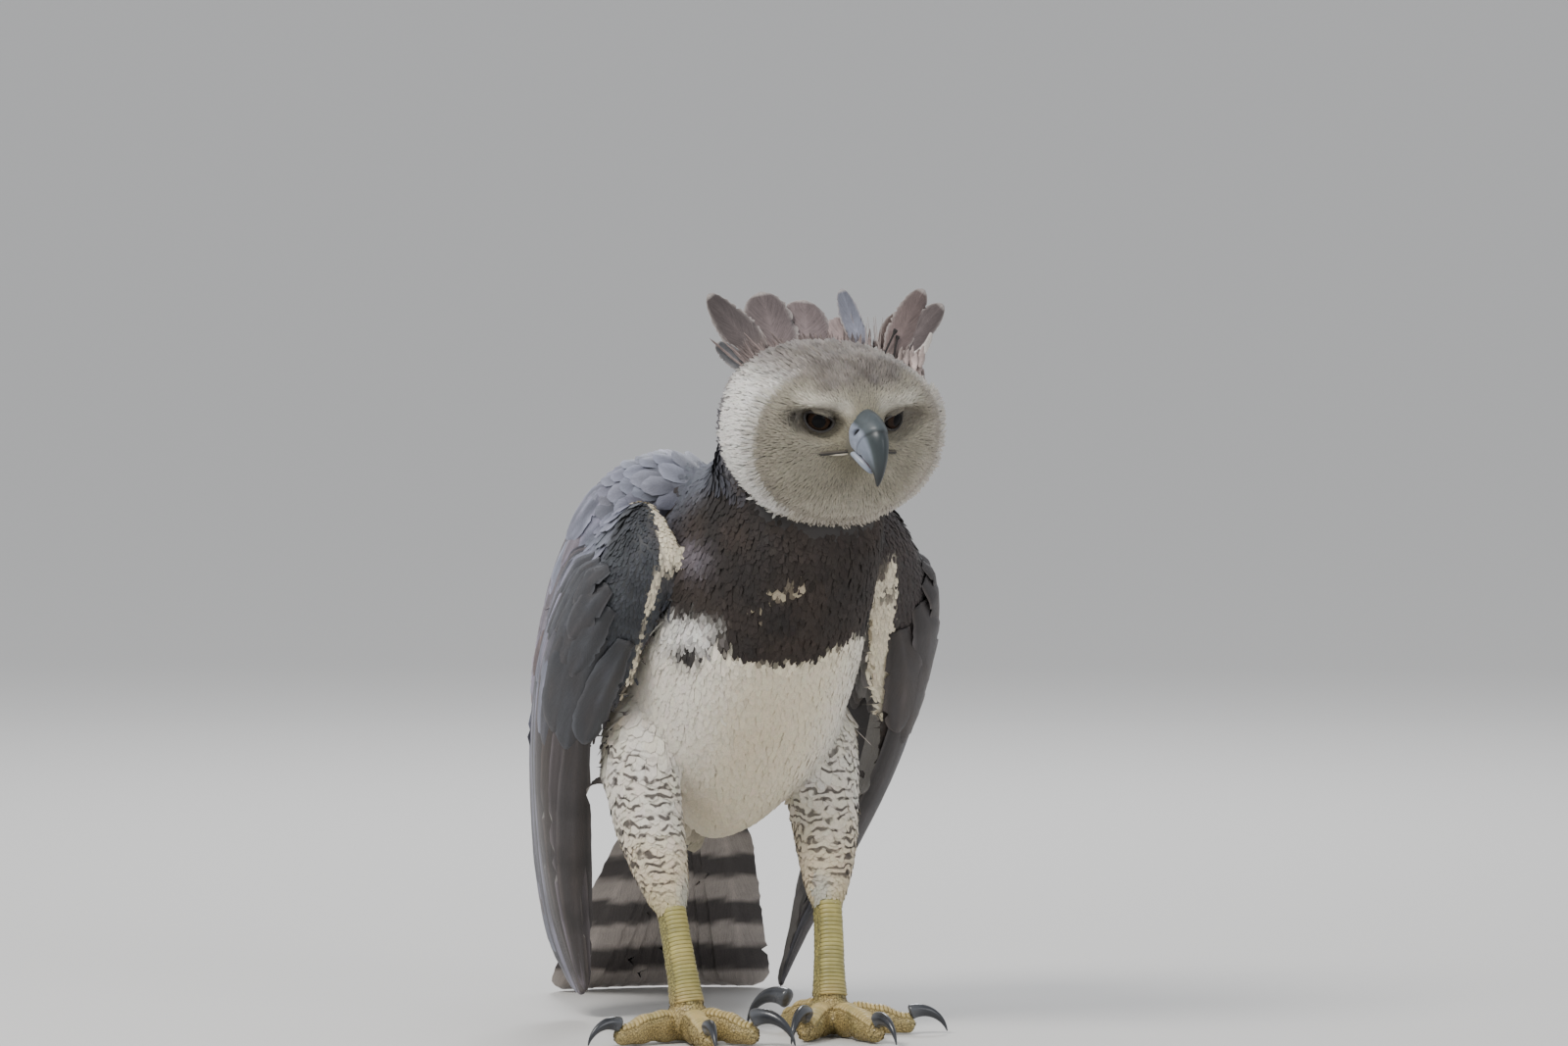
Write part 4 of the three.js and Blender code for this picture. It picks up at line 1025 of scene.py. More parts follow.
def plume_material(name, barbs=26.0, contrast=0.22, bump=0.25, rough=0.78, sheen=0.25, bars=False, far=0.0012, spec=0.3):
    """Vanes with fine barbs that run out and forward from the shaft."""
    m, nodes, links = node_material(name)
    bsdf = nodes["Principled BSDF"]
    uv = node(nodes, "ShaderNodeUVMap", uv_map="vane")
    xyz = node(nodes, "ShaderNodeSeparateXYZ")
    links.new(uv.outputs[0], xyz.inputs[0])
    off = maths(nodes, links, "ABSOLUTE", maths(nodes, links, "SUBTRACT", xyz.outputs[0], 0.5))
    slant = maths(nodes, links, "SUBTRACT", xyz.outputs[1], maths(nodes, links, "MULTIPLY", off, 0.9))
    where = node(nodes, "ShaderNodeTexCoord").outputs["Object"]
    cell = node(nodes, "ShaderNodeTexNoise", in_Scale=60.0, in_Detail=1.0)
    links.new(where, cell.inputs["Vector"])
    comb = node(nodes, "ShaderNodeCombineXYZ")
    links.new(maths(nodes, links, "MULTIPLY", slant, barbs), comb.inputs[0])
    links.new(maths(nodes, links, "MULTIPLY", off, 2.0), comb.inputs[1])
    links.new(maths(nodes, links, "MULTIPLY", cell.outputs["Fac"], 6.0), comb.inputs[2])
    barb = node(nodes, "ShaderNodeTexNoise", in_Scale=1.0, in_Detail=3.0, in_Roughness=0.6)
    links.new(comb.outputs[0], barb.inputs["Vector"])
    grain = node(nodes, "ShaderNodeTexNoise", in_Scale=700.0, in_Detail=2.0)
    links.new(where, grain.inputs["Vector"])
    tone = maths(nodes, links, "ADD", maths(nodes, links, "MULTIPLY", maths(nodes, links, "SUBTRACT", barb.outputs["Fac"], 0.5), contrast * 4), 1.0)
    tone = maths(nodes, links, "ADD", tone, maths(nodes, links, "MULTIPLY", maths(nodes, links, "SUBTRACT", grain.outputs["Fac"], 0.5), 0.35))
    colour = node(nodes, "ShaderNodeAttribute", attribute_name="tint").outputs["Color"]
    if bars:
        colour = bars_on(nodes, links, colour)
    scale = node(nodes, "ShaderNodeVectorMath", operation="SCALE")
    links.new(colour, scale.inputs[0])
    links.new(tone, scale.inputs["Scale"])
    links.new(scale.outputs[0], bsdf.inputs["Base Color"])
    bsdf.inputs["Roughness"].default_value = rough
    bsdf.inputs["Sheen Weight"].default_value = sheen
    bsdf.inputs["Sheen Roughness"].default_value = 0.45
    bsdf.inputs["Specular IOR Level"].default_value = spec
    b = node(nodes, "ShaderNodeBump", in_Strength=bump, in_Distance=far)
    links.new(barb.outputs["Fac"], b.inputs["Height"])
    links.new(b.outputs[0], bsdf.inputs["Normal"])
    return m


SOFT = plume_material("plume_soft", barbs=9.0, contrast=0.10, bump=0.12, rough=0.88, sheen=0.12, far=0.0005, spec=0.2)
FLUFF = plume_material("plume_fluff", barbs=11.0, contrast=0.14, bump=0.2, rough=0.85, sheen=0.08, far=0.0006, spec=0.2)
DARK = plume_material("plume_dark", barbs=11.0, contrast=0.18, bump=0.2, rough=0.80, sheen=0.02, far=0.0006, spec=0.16)
BARRED = plume_material("plume_barred", barbs=11.0, contrast=0.10, bump=0.15, rough=0.86, sheen=0.10, bars=True, far=0.0005, spec=0.2)
VANE = plume_material("plume_vane", barbs=46.0, contrast=0.24, bump=0.4, rough=0.56, sheen=0.06, far=0.0012)


def skin_material():
    """Skin under the coat: the coat's own markings, pimpled; scaly on the bare legs."""
    m, nodes, links = node_material("bird_skin")
    bsdf = nodes["Principled BSDF"]
    where = node(nodes, "ShaderNodeTexCoord").outputs["Object"]
    colour = bars_on(nodes, links, node(nodes, "ShaderNodeAttribute", attribute_name="tint").outputs["Color"])
    grain = node(nodes, "ShaderNodeTexNoise", in_Scale=420.0, in_Detail=3.0)
    links.new(where, grain.inputs["Vector"])
    cells = node(nodes, "ShaderNodeTexVoronoi", in_Scale=420.0, feature="DISTANCE_TO_EDGE")
    links.new(where, cells.inputs["Vector"])
    bare = node(nodes, "ShaderNodeAttribute", attribute_name="bare").outputs["Fac"]
    edge = maths(nodes, links, "MULTIPLY", cells.outputs["Distance"], 5.0, True)
    tone = maths(nodes, links, "ADD", maths(nodes, links, "MULTIPLY", grain.outputs["Fac"], 0.35), 0.80)
    shade = maths(nodes, links, "SUBTRACT", 1.0, maths(nodes, links, "MULTIPLY", bare, maths(nodes, links, "SUBTRACT", 0.75, maths(nodes, links, "MULTIPLY", edge, 0.75))))
    scale = node(nodes, "ShaderNodeVectorMath", operation="SCALE")
    links.new(colour, scale.inputs[0])
    links.new(maths(nodes, links, "MULTIPLY", tone, shade), scale.inputs["Scale"])
    links.new(scale.outputs[0], bsdf.inputs["Base Color"])
    bsdf.inputs["Roughness"].default_value = 0.6
    b = node(nodes, "ShaderNodeBump", in_Strength=0.5, in_Distance=0.0006)
    links.new(maths(nodes, links, "ADD", maths(nodes, links, "MULTIPLY", edge, bare), maths(nodes, links, "MULTIPLY", grain.outputs["Fac"], 0.4)), b.inputs["Height"])
    links.new(b.outputs[0], bsdf.inputs["Normal"])
    return m


skin_c = plumage(skin_p, skin_label, skin_side, skin_t, skin_a, skin_n)
feathered = (~np.isin(skin_label, [LABEL["tarsus"], LABEL["foot"]]))[:, None]
skin_c = relax(skin_c, skin_e, 2, feathered * 1.0, 0.5)
# where the coat is dark the skin under it is painted darker, down to 0.62 of its colour: painted shade under the vanes
bright = smooth(skin_c.mean(1), 0.2, 0.5)[:, None]
tint(skin, skin_c * np.where(feathered, lerp(0.62, 1.0, bright), 1.0))
number(skin, bar_weight(skin_p, skin_label), "bars")
number(skin, 1.0 * ~feathered[:, 0], "bare")
skin.data.materials.clear()
skin.data.materials.append(skin_material())
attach(skin, "root")
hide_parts("head", "neck", "trunk", "thigh_left", "thigh_right", "tarsus_left", "tarsus_right", "foot_left", "foot_right")


# ---------------------------------------------------------------- coat of the body
TUFT = ([0.36, 0.80], [1.0, 0.72], 3)
LEAF = ([0.24, 0.60, 0.90], [0.80, 1.0, 0.62], 3)
PLUME = ([0.22, 0.56, 0.88], [0.78, 1.0, 0.68], 5)
COVER = ([0.14, 0.40, 0.70, 0.92], [0.70, 1.0, 1.0, 0.60], 5)


def base_colours(roots):
    return plumage(roots.p, roots.label, roots.side, roots.t, roots.a, roots.n)


def shaded(roots, vane, s, w, under, seed, low=0.62, tip=1.08, edge=0.0, vary=0.07, shaft=0.0, below=0.8):
    """Root painted in shade and the underside scaled by below as painted shade, lighter towards the tip and edge, each
    vane a little different; where low is above tip the root is painted lighter instead, to offset the shadow between
    vanes.
    """
    rng = np.random.default_rng(seed)
    c = base_colours(roots) * (1 + rng.normal(0, vary, (len(roots), 1))) * (1 + rng.normal(0, 0.012, (len(roots), 3)))
    c = c[vane]
    tone = lerp(low, tip, smooth(s, 0.05, 0.75))
    tone = tone * (1 + edge * smooth(np.maximum(np.abs(w) * 0.92, s), 0.72, 1.0)) * (1 - shaft * np.exp(-((w / 0.18) ** 2)))
    return np.clip(c * (tone * np.where(under, below, 1.0))[:, None], 0.003, 0.9)


def soft_normals(ob, roots, vane, s, blend_in):
    """Vanes shaded partly as the body under them is, so that fine plumage reads as one soft surface."""
    n = np.empty(len(ob.data.vertices) * 3, np.float32)
    ob.data.vertex_normals.foreach_get("vector", n)
    n = n.reshape(-1, 3)
    own = roots.n[vane]
    face = np.sign(dot(n, own))
    out = unit(n * (1 - blend_in) + own * face * blend_in)
    ob.data.normals_split_custom_set_from_vertices([tuple(v) for v in out])


def cover(name, where, spacing, seed, length, width, shape, rise, slot, region, material=SOFT, stands_for=(), soften=0.0, tones=None, most=16000, jitter=0.0, lean=None, **k):
    roots = scatter(where, spacing, seed, most)
    if lean is not None:
        roots.way = unit(roots.way + lean(roots))
        roots.way = unit(roots.way - roots.n * dot(roots.way, roots.n))
    L, W, R = (f(roots) if callable(f) else np.full(len(roots), float(f)) for f in (length, width, rise))
    p, f, vane, s, w, under = build_vanes(roots, L, W, shape, R, seed + 1, **k)
    ob = mesh_object(name, M(p), f)
    tint(ob, shaded(roots, vane, s, w, under, seed + 2, **(tones or {})))
    if material is BARRED:
        number(ob, bar_weight(roots.p, roots.label)[vane], "bars")
    uv_map(ob, np.stack([w * 0.5 + 0.5, s], -1), "vane")
    flat = unwrap(roots.p, region)
    uv_map(ob, flat[vane] + np.stack([w * 0.5, s - 0.5], -1) * 0.003, "OFBake")
    if soften:
        soft_normals(ob, roots, vane, s, soften)
    ob.data.materials.append(material)
    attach(ob, "root")
    if stands_for:
        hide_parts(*stands_for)
    print(f"{name}: {len(roots)} vanes, {len(f)} triangles")
    return roots


def near_eye(p):
    """Under 1 inside the lids' outer edge."""
    out = np.full(len(p), 9.0)
    for side in (1, -1):
        x, z, d, rho = eye_places(p, side)
        out = np.where(d > 0, np.minimum(out, np.hypot(x / 14.2, z / np.where(z > 0, 8.0, 10.6))), out)
    return out


def near_gape(p):
    h = head_in(p)
    s = np.clip((np.abs(h[:, 0]) - 13.5) / 25.0, 0, 1)
    x, y, z = gape_line(s, 1)
    return np.hypot(np.abs(h[:, 0]) - x, h[:, 2] - z) + np.where(h[:, 1] > -30, 99, 0)


def near_bill(p):
    """Under 1 in the oval of the bill's root and along the gape."""
    h = head_in(p)
    oval = np.hypot(h[:, 0] / 17.4, (h[:, 2] - 9) / 20.5) + np.where(h[:, 1] > -30, 9, 0)
    return oval


def is_(lab, *names):
    return np.isin(lab, [LABEL[x] for x in names])


def on_face(p, lab, sid):
    y = head_in(p)[:, 1]
    return (is_(lab, "head") & (y < -33) & (near_eye(p) > 1.0) & (near_bill(p) > 1.0) & (near_gape(p) > 2.0)) * 1.0


def face_spacing(p):
    h = head_in(p)
    r = np.hypot(h[:, 0], h[:, 2] - 8)
    return lerp(1.0, 1.35, smooth(r, 25, 85))


face_radius = lambda r: smooth(np.hypot(head_in(r.p)[:, 0], head_in(r.p)[:, 2] - 8), 24, 80)
cover("coat_face", on_face, face_spacing, 11, lambda r: lerp(4.6, 9.5, face_radius(r)), lambda r: lerp(1.15, 1.9, face_radius(r)), TUFT,
      lambda r: lerp(1.0, 2.4, face_radius(r)), "head_feathers", "head", soften=0.72, yaw=10, camber=0.3, sink=0.6,
      most=16500, tones=dict(low=0.98, tip=1.03, vary=0.06, below=0.95))



def head_zone(p):
    h = head_in(p)
    return h[:, 0], h[:, 1], h[:, 2]


def on_crown(p, lab, sid):
    x, y, z = head_zone(p)
    return (is_(lab, "head") & (y >= -36) & (z > 40)) * 1.0


def on_ruff(p, lab, sid):
    x, y, z = head_zone(p)
    return (is_(lab, "head") & (y >= -36) & (y < 22) & (z <= 44)) * 1.0


def on_nape(p, lab, sid):
    x, y, z = head_zone(p)
    return (is_(lab, "head") & (y >= 18) & (z <= 44)) * 1.0


away = lambda turn: (lambda r: unit(head_in(r.p) * (1, 0, 1)) @ HEAD_R.T * turn)
cover("coat_crown", on_crown, lambda p: lerp(1.9, 3.2, smooth(head_in(p)[:, 1], -20, 60)), 21, lambda r: lerp(10, 24, smooth(head_in(r.p)[:, 1], -34, 50)),
      lambda r: lerp(2.4, 5.5, smooth(head_in(r.p)[:, 1], -34, 50)), TUFT, lambda r: lerp(2.8, 6.5, smooth(head_in(r.p)[:, 1], -34, 30)),
      "head_feathers", "head", FLUFF, soften=0.6, yaw=12, camber=0.3, tones=dict(low=0.85, tip=1.05, vary=0.11, below=0.9), wave=0.03)
cover("coat_ruff", on_ruff, lambda p: lerp(1.6, 2.5, smooth(head_in(p)[:, 1], -20, 20)), 23, lambda r: lerp(14, 23, smooth(head_in(r.p)[:, 1], -36, 0)) * lerp(1.0, 0.5, smooth(-head_in(r.p)[:, 2], 5, 50)), lambda r: lerp(2.2, 3.6, smooth(head_in(r.p)[:, 1], -36, 0)), TUFT,
      lambda r: lerp(6.5, 6.0, smooth(head_in(r.p)[:, 1], -25, 5)), "head_feathers", "head", FLUFF, soften=0.7, yaw=13, camber=0.25,
      tones=dict(low=0.98, tip=1.03, vary=0.05, below=0.95), wave=0.04, lean=away(0.10))
cover("coat_nape", on_nape, lambda p: 3.1 + 0 * p[:, 0], 25, 17, 5.0, LEAF, 4.2, "head_feathers", "head", FLUFF, soften=0.8, yaw=8, tones=dict(low=0.75, tip=1.1, vary=0.10), wave=0.03, serrate=0.15)


def on_neck(p, lab, sid):
    return is_(lab, "neck") * 1.0


cover("coat_neck", on_neck, lambda p: 2.9 + 0 * p[:, 0], 31, 20, 5.8, LEAF, 3.0, "breast_band_feathers", "neck", DARK, soften=0.85, yaw=10,
      tones=dict(low=0.85, tip=1.06, vary=0.10, edge=0.1), wave=0.05, serrate=0.25)

front_of = lambda p: smooth(-(p[:, 1] - lerp(-60, 90, smooth(p[:, 2], 480, 240))), -10, 30)


def on_band(p, lab, sid):
    return (is_(lab, "trunk") & (p[:, 2] >= 366) & (p[:, 1] < 78)) * 1.0


def on_belly(p, lab, sid):
    return (is_(lab, "trunk") & (p[:, 2] < 366) & (p[:, 1] < 175)) * 1.0


def on_back(p, lab, sid):
    return (is_(lab, "trunk") & (((p[:, 2] >= 366) & (p[:, 1] >= 78)) | (p[:, 1] >= 175))) * 1.0


cover("coat_breast", on_band, lambda p: 2.8 + 0 * p[:, 0], 35, lambda r: 25 - 6 * smooth(r.p[:, 2], 440, 520), 6.2, LEAF, 2.4, "breast_band_feathers", "trunk", DARK, soften=0.88, yaw=11, camber=0.12,
      tones=dict(low=0.88, tip=1.05, vary=0.09), wave=0.05, serrate=0.3)
cover("coat_belly", on_belly, lambda p: 2.7 + 0 * p[:, 0], 37, 25, 6.6, LEAF, 2.0, "body_feathers", "trunk", SOFT, soften=0.95, yaw=11, camber=0.10,
      tones=dict(low=1.10, tip=1.0, vary=0.015, below=1.1), wave=0.05, serrate=0.2)
cover("coat_back", on_back, lambda p: 9.5 + 0 * p[:, 0], 39, 44, 20, PLUME, 8, "body_feathers", "trunk", FLUFF, soften=0.2, yaw=7,
      tones=dict(low=0.55, tip=1.1, vary=0.1, edge=0.25), wave=0.02, serrate=0.08)
cover("coat_rump", lambda p, lab, sid: is_(lab, "rump") * 1.0, lambda p: 9.0 + 0 * p[:, 0], 41, 46, 20, PLUME, 5, "tail_feathers", "trunk", FLUFF, soften=0.2, yaw=6,
      tones=dict(low=0.55, tip=1.15, vary=0.1, edge=0.3), wave=0.02, serrate=0.1)
for s, word in ((1, "left"), (-1, "right")):
    cover("coat_thigh_" + word, lambda p, lab, sid, s=s: (is_(lab, "thigh") & (sid == s) & ~((np.abs(p[:, 0]) > 129) & (p[:, 1] > 72) & (p[:, 2] < 254))) * 1.0, lambda p: lerp(4.4, 2.1, smooth(p[:, 2], 240, 128)), 51 + s,
          lambda r: lerp(24, 8.5, smooth(r.p[:, 2], 240, 122)), lambda r: lerp(12.5, 4.6, smooth(r.p[:, 2], 225, 122)), PLUME, lambda r: lerp(2.8, 1.2, smooth(r.p[:, 2], 230, 122)),
          "thigh_feathers", "thigh", BARRED, soften=0.94, yaw=5, camber=0.10, tones=dict(low=1.10, tip=1.0, vary=0.015, below=1.05), wave=0.02, serrate=0.10)


# ---------------------------------------------------------------- small coverts of the wings and the shoulder feathers
def on_wing(s, inner):
    def f(p, lab, sid):
        return (is_(lab, "wing") & (sid == s)) * 1.0
    return f


for s, word in ((1, "left"), (-1, "right")):
    for kind, gap, shape in (("fine", 2.5, LEAF), ("broad", 5.0, COVER)):
        r = scatter(on_wing(s, False), lambda p: gap + 0 * p[:, 0], 61 + s, 30000)
        u, v, outer = wing_place(r.t, r.a)
        lead = smooth(u, 0.32, 0.12)
        if kind == "fine":
            L, W = lerp(21, 10.0, lead), lerp(8.5, 3.4, lead)
            keep = (u < 0.36) & np.where(outer, v < lerp(0.36, 0.54, smooth(u, 0.2, 0.06)), v < 0.46)
            high, soft, jag = lerp(3.6, 1.3, lead), 0.85, 0.1
        else:
            L, W = np.where(outer, lerp(24, 40, smooth(v, 0.02, 0.42)), 34), np.where(outer, lerp(14, 23, smooth(v, 0.02, 0.42)), 15)
            keep = (u > 0.30) & np.where(outer, v < 0.44, (v < 0.46) & (u < 0.9))
            high, soft, jag = lerp(4.6, 3.2, smooth(v, 0.2, 0.3)), 0.5, 0.1
        keep &= np.random.default_rng(5).random(len(r)) < np.clip((gap / (W * 0.52)) ** 2 * 1.15, 0.05, 1)
        r, L, W, u, v, outer, high = r.take(keep), L[keep], W[keep], u[keep], v[keep], outer[keep], high[keep]
        p, f, vane, sx, w, under = build_vanes(r, L, W, shape, high, 63 + s, yaw=7, camber=0.15, wave=0.03, serrate=jag)
        name = "coat_wing_" + word + ("_lead" if kind == "fine" else "")
        ob = mesh_object(name, M(p), f)
        tint(ob, shaded(r, vane, sx, w, under, 65 + s, low=0.8 if kind == "fine" else 0.62, tip=1.08, vary=0.08, edge=0.12 if kind == "fine" else 0.3, shaft=0.06, below=0.9))
        uv_map(ob, np.stack([w * 0.5 + 0.5, sx], -1), "vane")
        flat = unwrap(r.p, "wing")
        uv_map(ob, flat[vane] + np.stack([w * 0.5, sx - 0.5], -1) * 0.003, "OFBake")
        soft_normals(ob, r, vane, sx, soft)
        ob.data.materials.append(FLUFF if kind == "fine" else VANE)
        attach(ob, "root")
        print(name, len(r), "vanes", len(f), "triangles")
    r = scatter(lambda p, lab, sid: (is_(lab, "cape") & (sid == s)) * 1.0, lambda p: lerp(9.0, 15.0, smooth(p[:, 2], 520, 330)), 71 + s, 4000)
    L, W = lerp(30, 72, smooth(r.p[:, 2], 540, 360)), lerp(17, 36, smooth(r.p[:, 2], 540, 380))
    p, f, vane, sx, w, under = build_vanes(r, L, W, COVER, 7.0, 73 + s, yaw=5, camber=0.24, wave=0.012, serrate=0.04)
    ob = mesh_object("coat_cape_" + word, M(p), f)
    tint(ob, shaded(r, vane, sx, w, under, 75 + s, low=0.6, tip=1.12, vary=0.13, edge=0.3, shaft=0.15))
    uv_map(ob, np.stack([w * 0.5 + 0.5, sx], -1), "vane")
    flat = unwrap(r.p, "cape")
    uv_map(ob, flat[vane] + np.stack([w * 0.5, sx - 0.5], -1) * 0.003, "OFBake")
    soft_normals(ob, r, vane, sx, 0.3)
    ob.data.materials.append(VANE)
    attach(ob, "root")
    print("coat_cape_" + word, len(r), "vanes", len(f), "triangles")


# ---------------------------------------------------------------- large feathers
def big_feather(spine, up, half, cols=9, thick=0.9, camber=0.16, tilt=0.0, notches=2, seed=0, shaft=0.6, ragged=0.02, slant=0.35):
    """One closed feather. spine, up: (rows, 3); half: (rows,) half width. Barbs sweep forward by slant.
    Returns points, faces, s, w, under."""
    rng = np.random.default_rng(seed)
    rows = len(spine)
    s = np.concatenate([[0], np.cumsum(np.linalg.norm(np.diff(spine, axis=0), axis=1))])
    total = s[-1]
    s = s / total
    tangent = unit(np.gradient(spine, axis=0))
    up = unit(up - tangent * dot(up, tangent))
    across = np.cross(tangent, up)
    c, n = math.cos(tilt), math.sin(tilt)
    up, across = up * c - across * n, across * c + up * n
    w = np.linspace(-1, 1, cols)
    H = np.tile(half[:, None], (1, cols)) * (1 + rng.normal(0, ragged, (rows, cols)) * (np.abs(w) > 0.85))
    for _ in range(notches):
        r, side = int(rng.integers(rows // 3, rows - 3)), rng.choice([0, -1])
        H[r, side] *= rng.uniform(0.62, 0.85)
    # barbs end further on than they leave the shaft
    forward = slant * H * np.abs(w) * np.clip(1.15 - s[:, None], 0, 1)
    arch = -camber * H * w ** 2
    rim = 1 - np.abs(w) ** 3
    quill = np.exp(-((w / (1.2 / (cols - 1))) ** 2)) * shaft
    taper = (1 - 0.7 * s)[:, None]
    mid = spine[:, None] + across[:, None] * (H * w)[..., None] + tangent[:, None] * (forward * 0.6)[..., None] + up[:, None] * arch[..., None]
    top = mid + up[:, None] * (thick * 0.5 * rim * taper ** 0.3 + quill * taper)[..., None]
    bot = mid - up[:, None] * (thick * 0.5 * rim * taper ** 0.3 + quill * taper)[..., None]
    i = np.arange(rows * cols).reshape(rows, cols)
    q = np.stack([i[:-1, :-1], i[:-1, 1:], i[1:, 1:], i[1:, :-1]], -1).reshape(-1, 4)
    low = q[:, ::-1] + rows * cols
    ends = [(i[0, k + 1], i[0, k], i[0, k] + rows * cols, i[0, k + 1] + rows * cols) for k in range(cols - 1)]
    ends += [(i[-1, k], i[-1, k + 1], i[-1, k + 1] + rows * cols, i[-1, k] + rows * cols) for k in range(cols - 1)]
    p = np.concatenate([top.reshape(-1, 3), bot.reshape(-1, 3)])
    S = np.tile(np.repeat(s, cols), 2)
    W = np.tile(np.tile(w, rows), 2)
    under = np.repeat([False, True], rows * cols)
    return p, np.concatenate([q, low, np.array(ends)]), S, W, under


def tip_shape(s, blunt=0.72, base=0.55, mid=0.45, power=2.2):
    tip = np.sqrt(np.clip(1 - np.clip((s - blunt) / (1.0 - blunt + 0.004), 0, 1) ** power, 0, 1))
    return np.maximum(tip, 0.05) * lerp(base, 1, smooth(s, 0, mid))


class Plumes:
    """Several large feathers in one mesh, each with its own cell of the unwrap."""

    def __init__(self, name, slot, material, cells):
        self.name, self.slot, self.material, self.cells = name, slot, material, cells
        self.p, self.f, self.s, self.w, self.u, self.c, self.flat, self.count, self.base = [], [], [], [], [], [], [], 0, 0

    def add(self, feather, colour, mirror=False, size=1.0):
        p, f, s, w, under = feather
        self.c.append(colour(p, s, w, under))
        if mirror:
            p, f = p * (-1, 1, 1), f[:, ::-1]
        self.p.append(p)
        self.f.append(f + self.base)
        self.s.append(s)
        self.w.append(w)
        self.u.append(under)
        n = self.cells
        x, y = self.count % n, self.count // n
        cell = 1.0 / n
        self.flat.append(np.stack([(x + 0.04 + (w * 0.5 + 0.5) * 0.42 + 0.48 * under) * cell, (y % n + 0.04 + s * 0.92) * cell], -1))
        self.count += 1
        self.base += len(p)

    def done(self, stands_for=()):
        p, f = np.concatenate(self.p), np.concatenate(self.f)
        ob = mesh_object(self.name, M(p), f)
        tint(ob, np.clip(np.concatenate(self.c), 0.003, 0.9))
        s, w = np.concatenate(self.s), np.concatenate(self.w)
        uv_map(ob, np.stack([w * 0.5 + 0.5, s], -1), "vane")
        uv_map(ob, np.concatenate(self.flat), "OFBake")
        ob.data.materials.append(self.material)
        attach(ob, "root")
        if stands_for:
            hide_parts(*stands_for)
        print(self.name, self.count, "feathers", len(f) * 2, "triangles")
        return ob


QUILL = plume_material("plume_quill", barbs=90.0, contrast=0.24, bump=0.45, rough=0.48, sheen=0.05, far=0.0012, spec=0.4)
CREST_VANE = plume_material("plume_crest", barbs=52.0, contrast=0.34, bump=0.4, rough=0.7, sheen=0.08, far=0.0010)


def feather_tone(rng, base, s, w, under, edge=0.5, shade=0.45, shaft=1.25, side_dark=0.0):
    """Painted shade towards the root, a pale thin edge, a shaft a little lighter, and lilac streaks of painted sheen.
    """
    c = np.tile(base, (len(s), 1)) if np.ndim(base) == 1 else base
    where = np.stack([w * 2.2, s * 5.0, 0 * s + rng.uniform(0, 40)], -1)
    c = c * (1 + 0.30 * noise(where, 1.0, 31) + 0.16 * noise(where * (5, 1.2, 1), 1.0, 33))[:, None]
    # lilac streaks on the darker feathers: painted sheen highlights
    c = blend(c, np.array([0.30, 0.275, 0.37]), smooth(noise(where * (2.2, 0.7, 1), 1.0, 32), 0.05, 0.6) * smooth(c.mean(1), 0.04, 0.12) * 0.6)
    c = blend(c, c * 0.5, smooth(noise(where * (1.6, 0.6, 1) + 9, 1.0, 34), 0.2, 0.65) * 0.4)
    c = blend(c, np.array([0.062, 0.056, 0.058]), smooth(c.mean(1), 0.05, 0.02) * 0.75)
    tone = lerp(1 - 0.5 * shade, 1.0, smooth(s, 0.1, 0.55))
    rim = smooth(np.maximum(np.abs(w), 0.5 + 0.5 * smooth(s, 0.88, 1.0) * (s > 0.8)), 0.78, 0.98)
    tone = tone * (1 + 1.5 * edge * rim) * (1 - side_dark * smooth(w, 0.1, 0.8))
    tone = tone * (1 + (shaft - 1) * np.exp(-((w / 0.09) ** 2)))
    return c * (tone * (1 + rng.normal(0, 0.02)) * np.where(under, 1.05, 1.0))[:, None]


def wing_path(u0, v0, u1, v1, rows, lift0, lift1, ease=0.9):
    s = np.linspace(0, 1, rows)
    u, v = lerp(u0, u1, s ** ease), lerp(v0, v1, s)
    p = wing_point(u, np.minimum(v, 1.0))
    n = wing_normal(np.clip(u, 0.05, 0.95), np.clip(v, 0.02, 0.96))
    p = p + n * lerp(lift0, lift1, smooth(s, 0, 0.4))[:, None]
    p[:, 1:] += np.stack([4 * np.maximum(v - 1, 0), -66 * np.maximum(v - 1, 0)], -1)
    return p, n, s


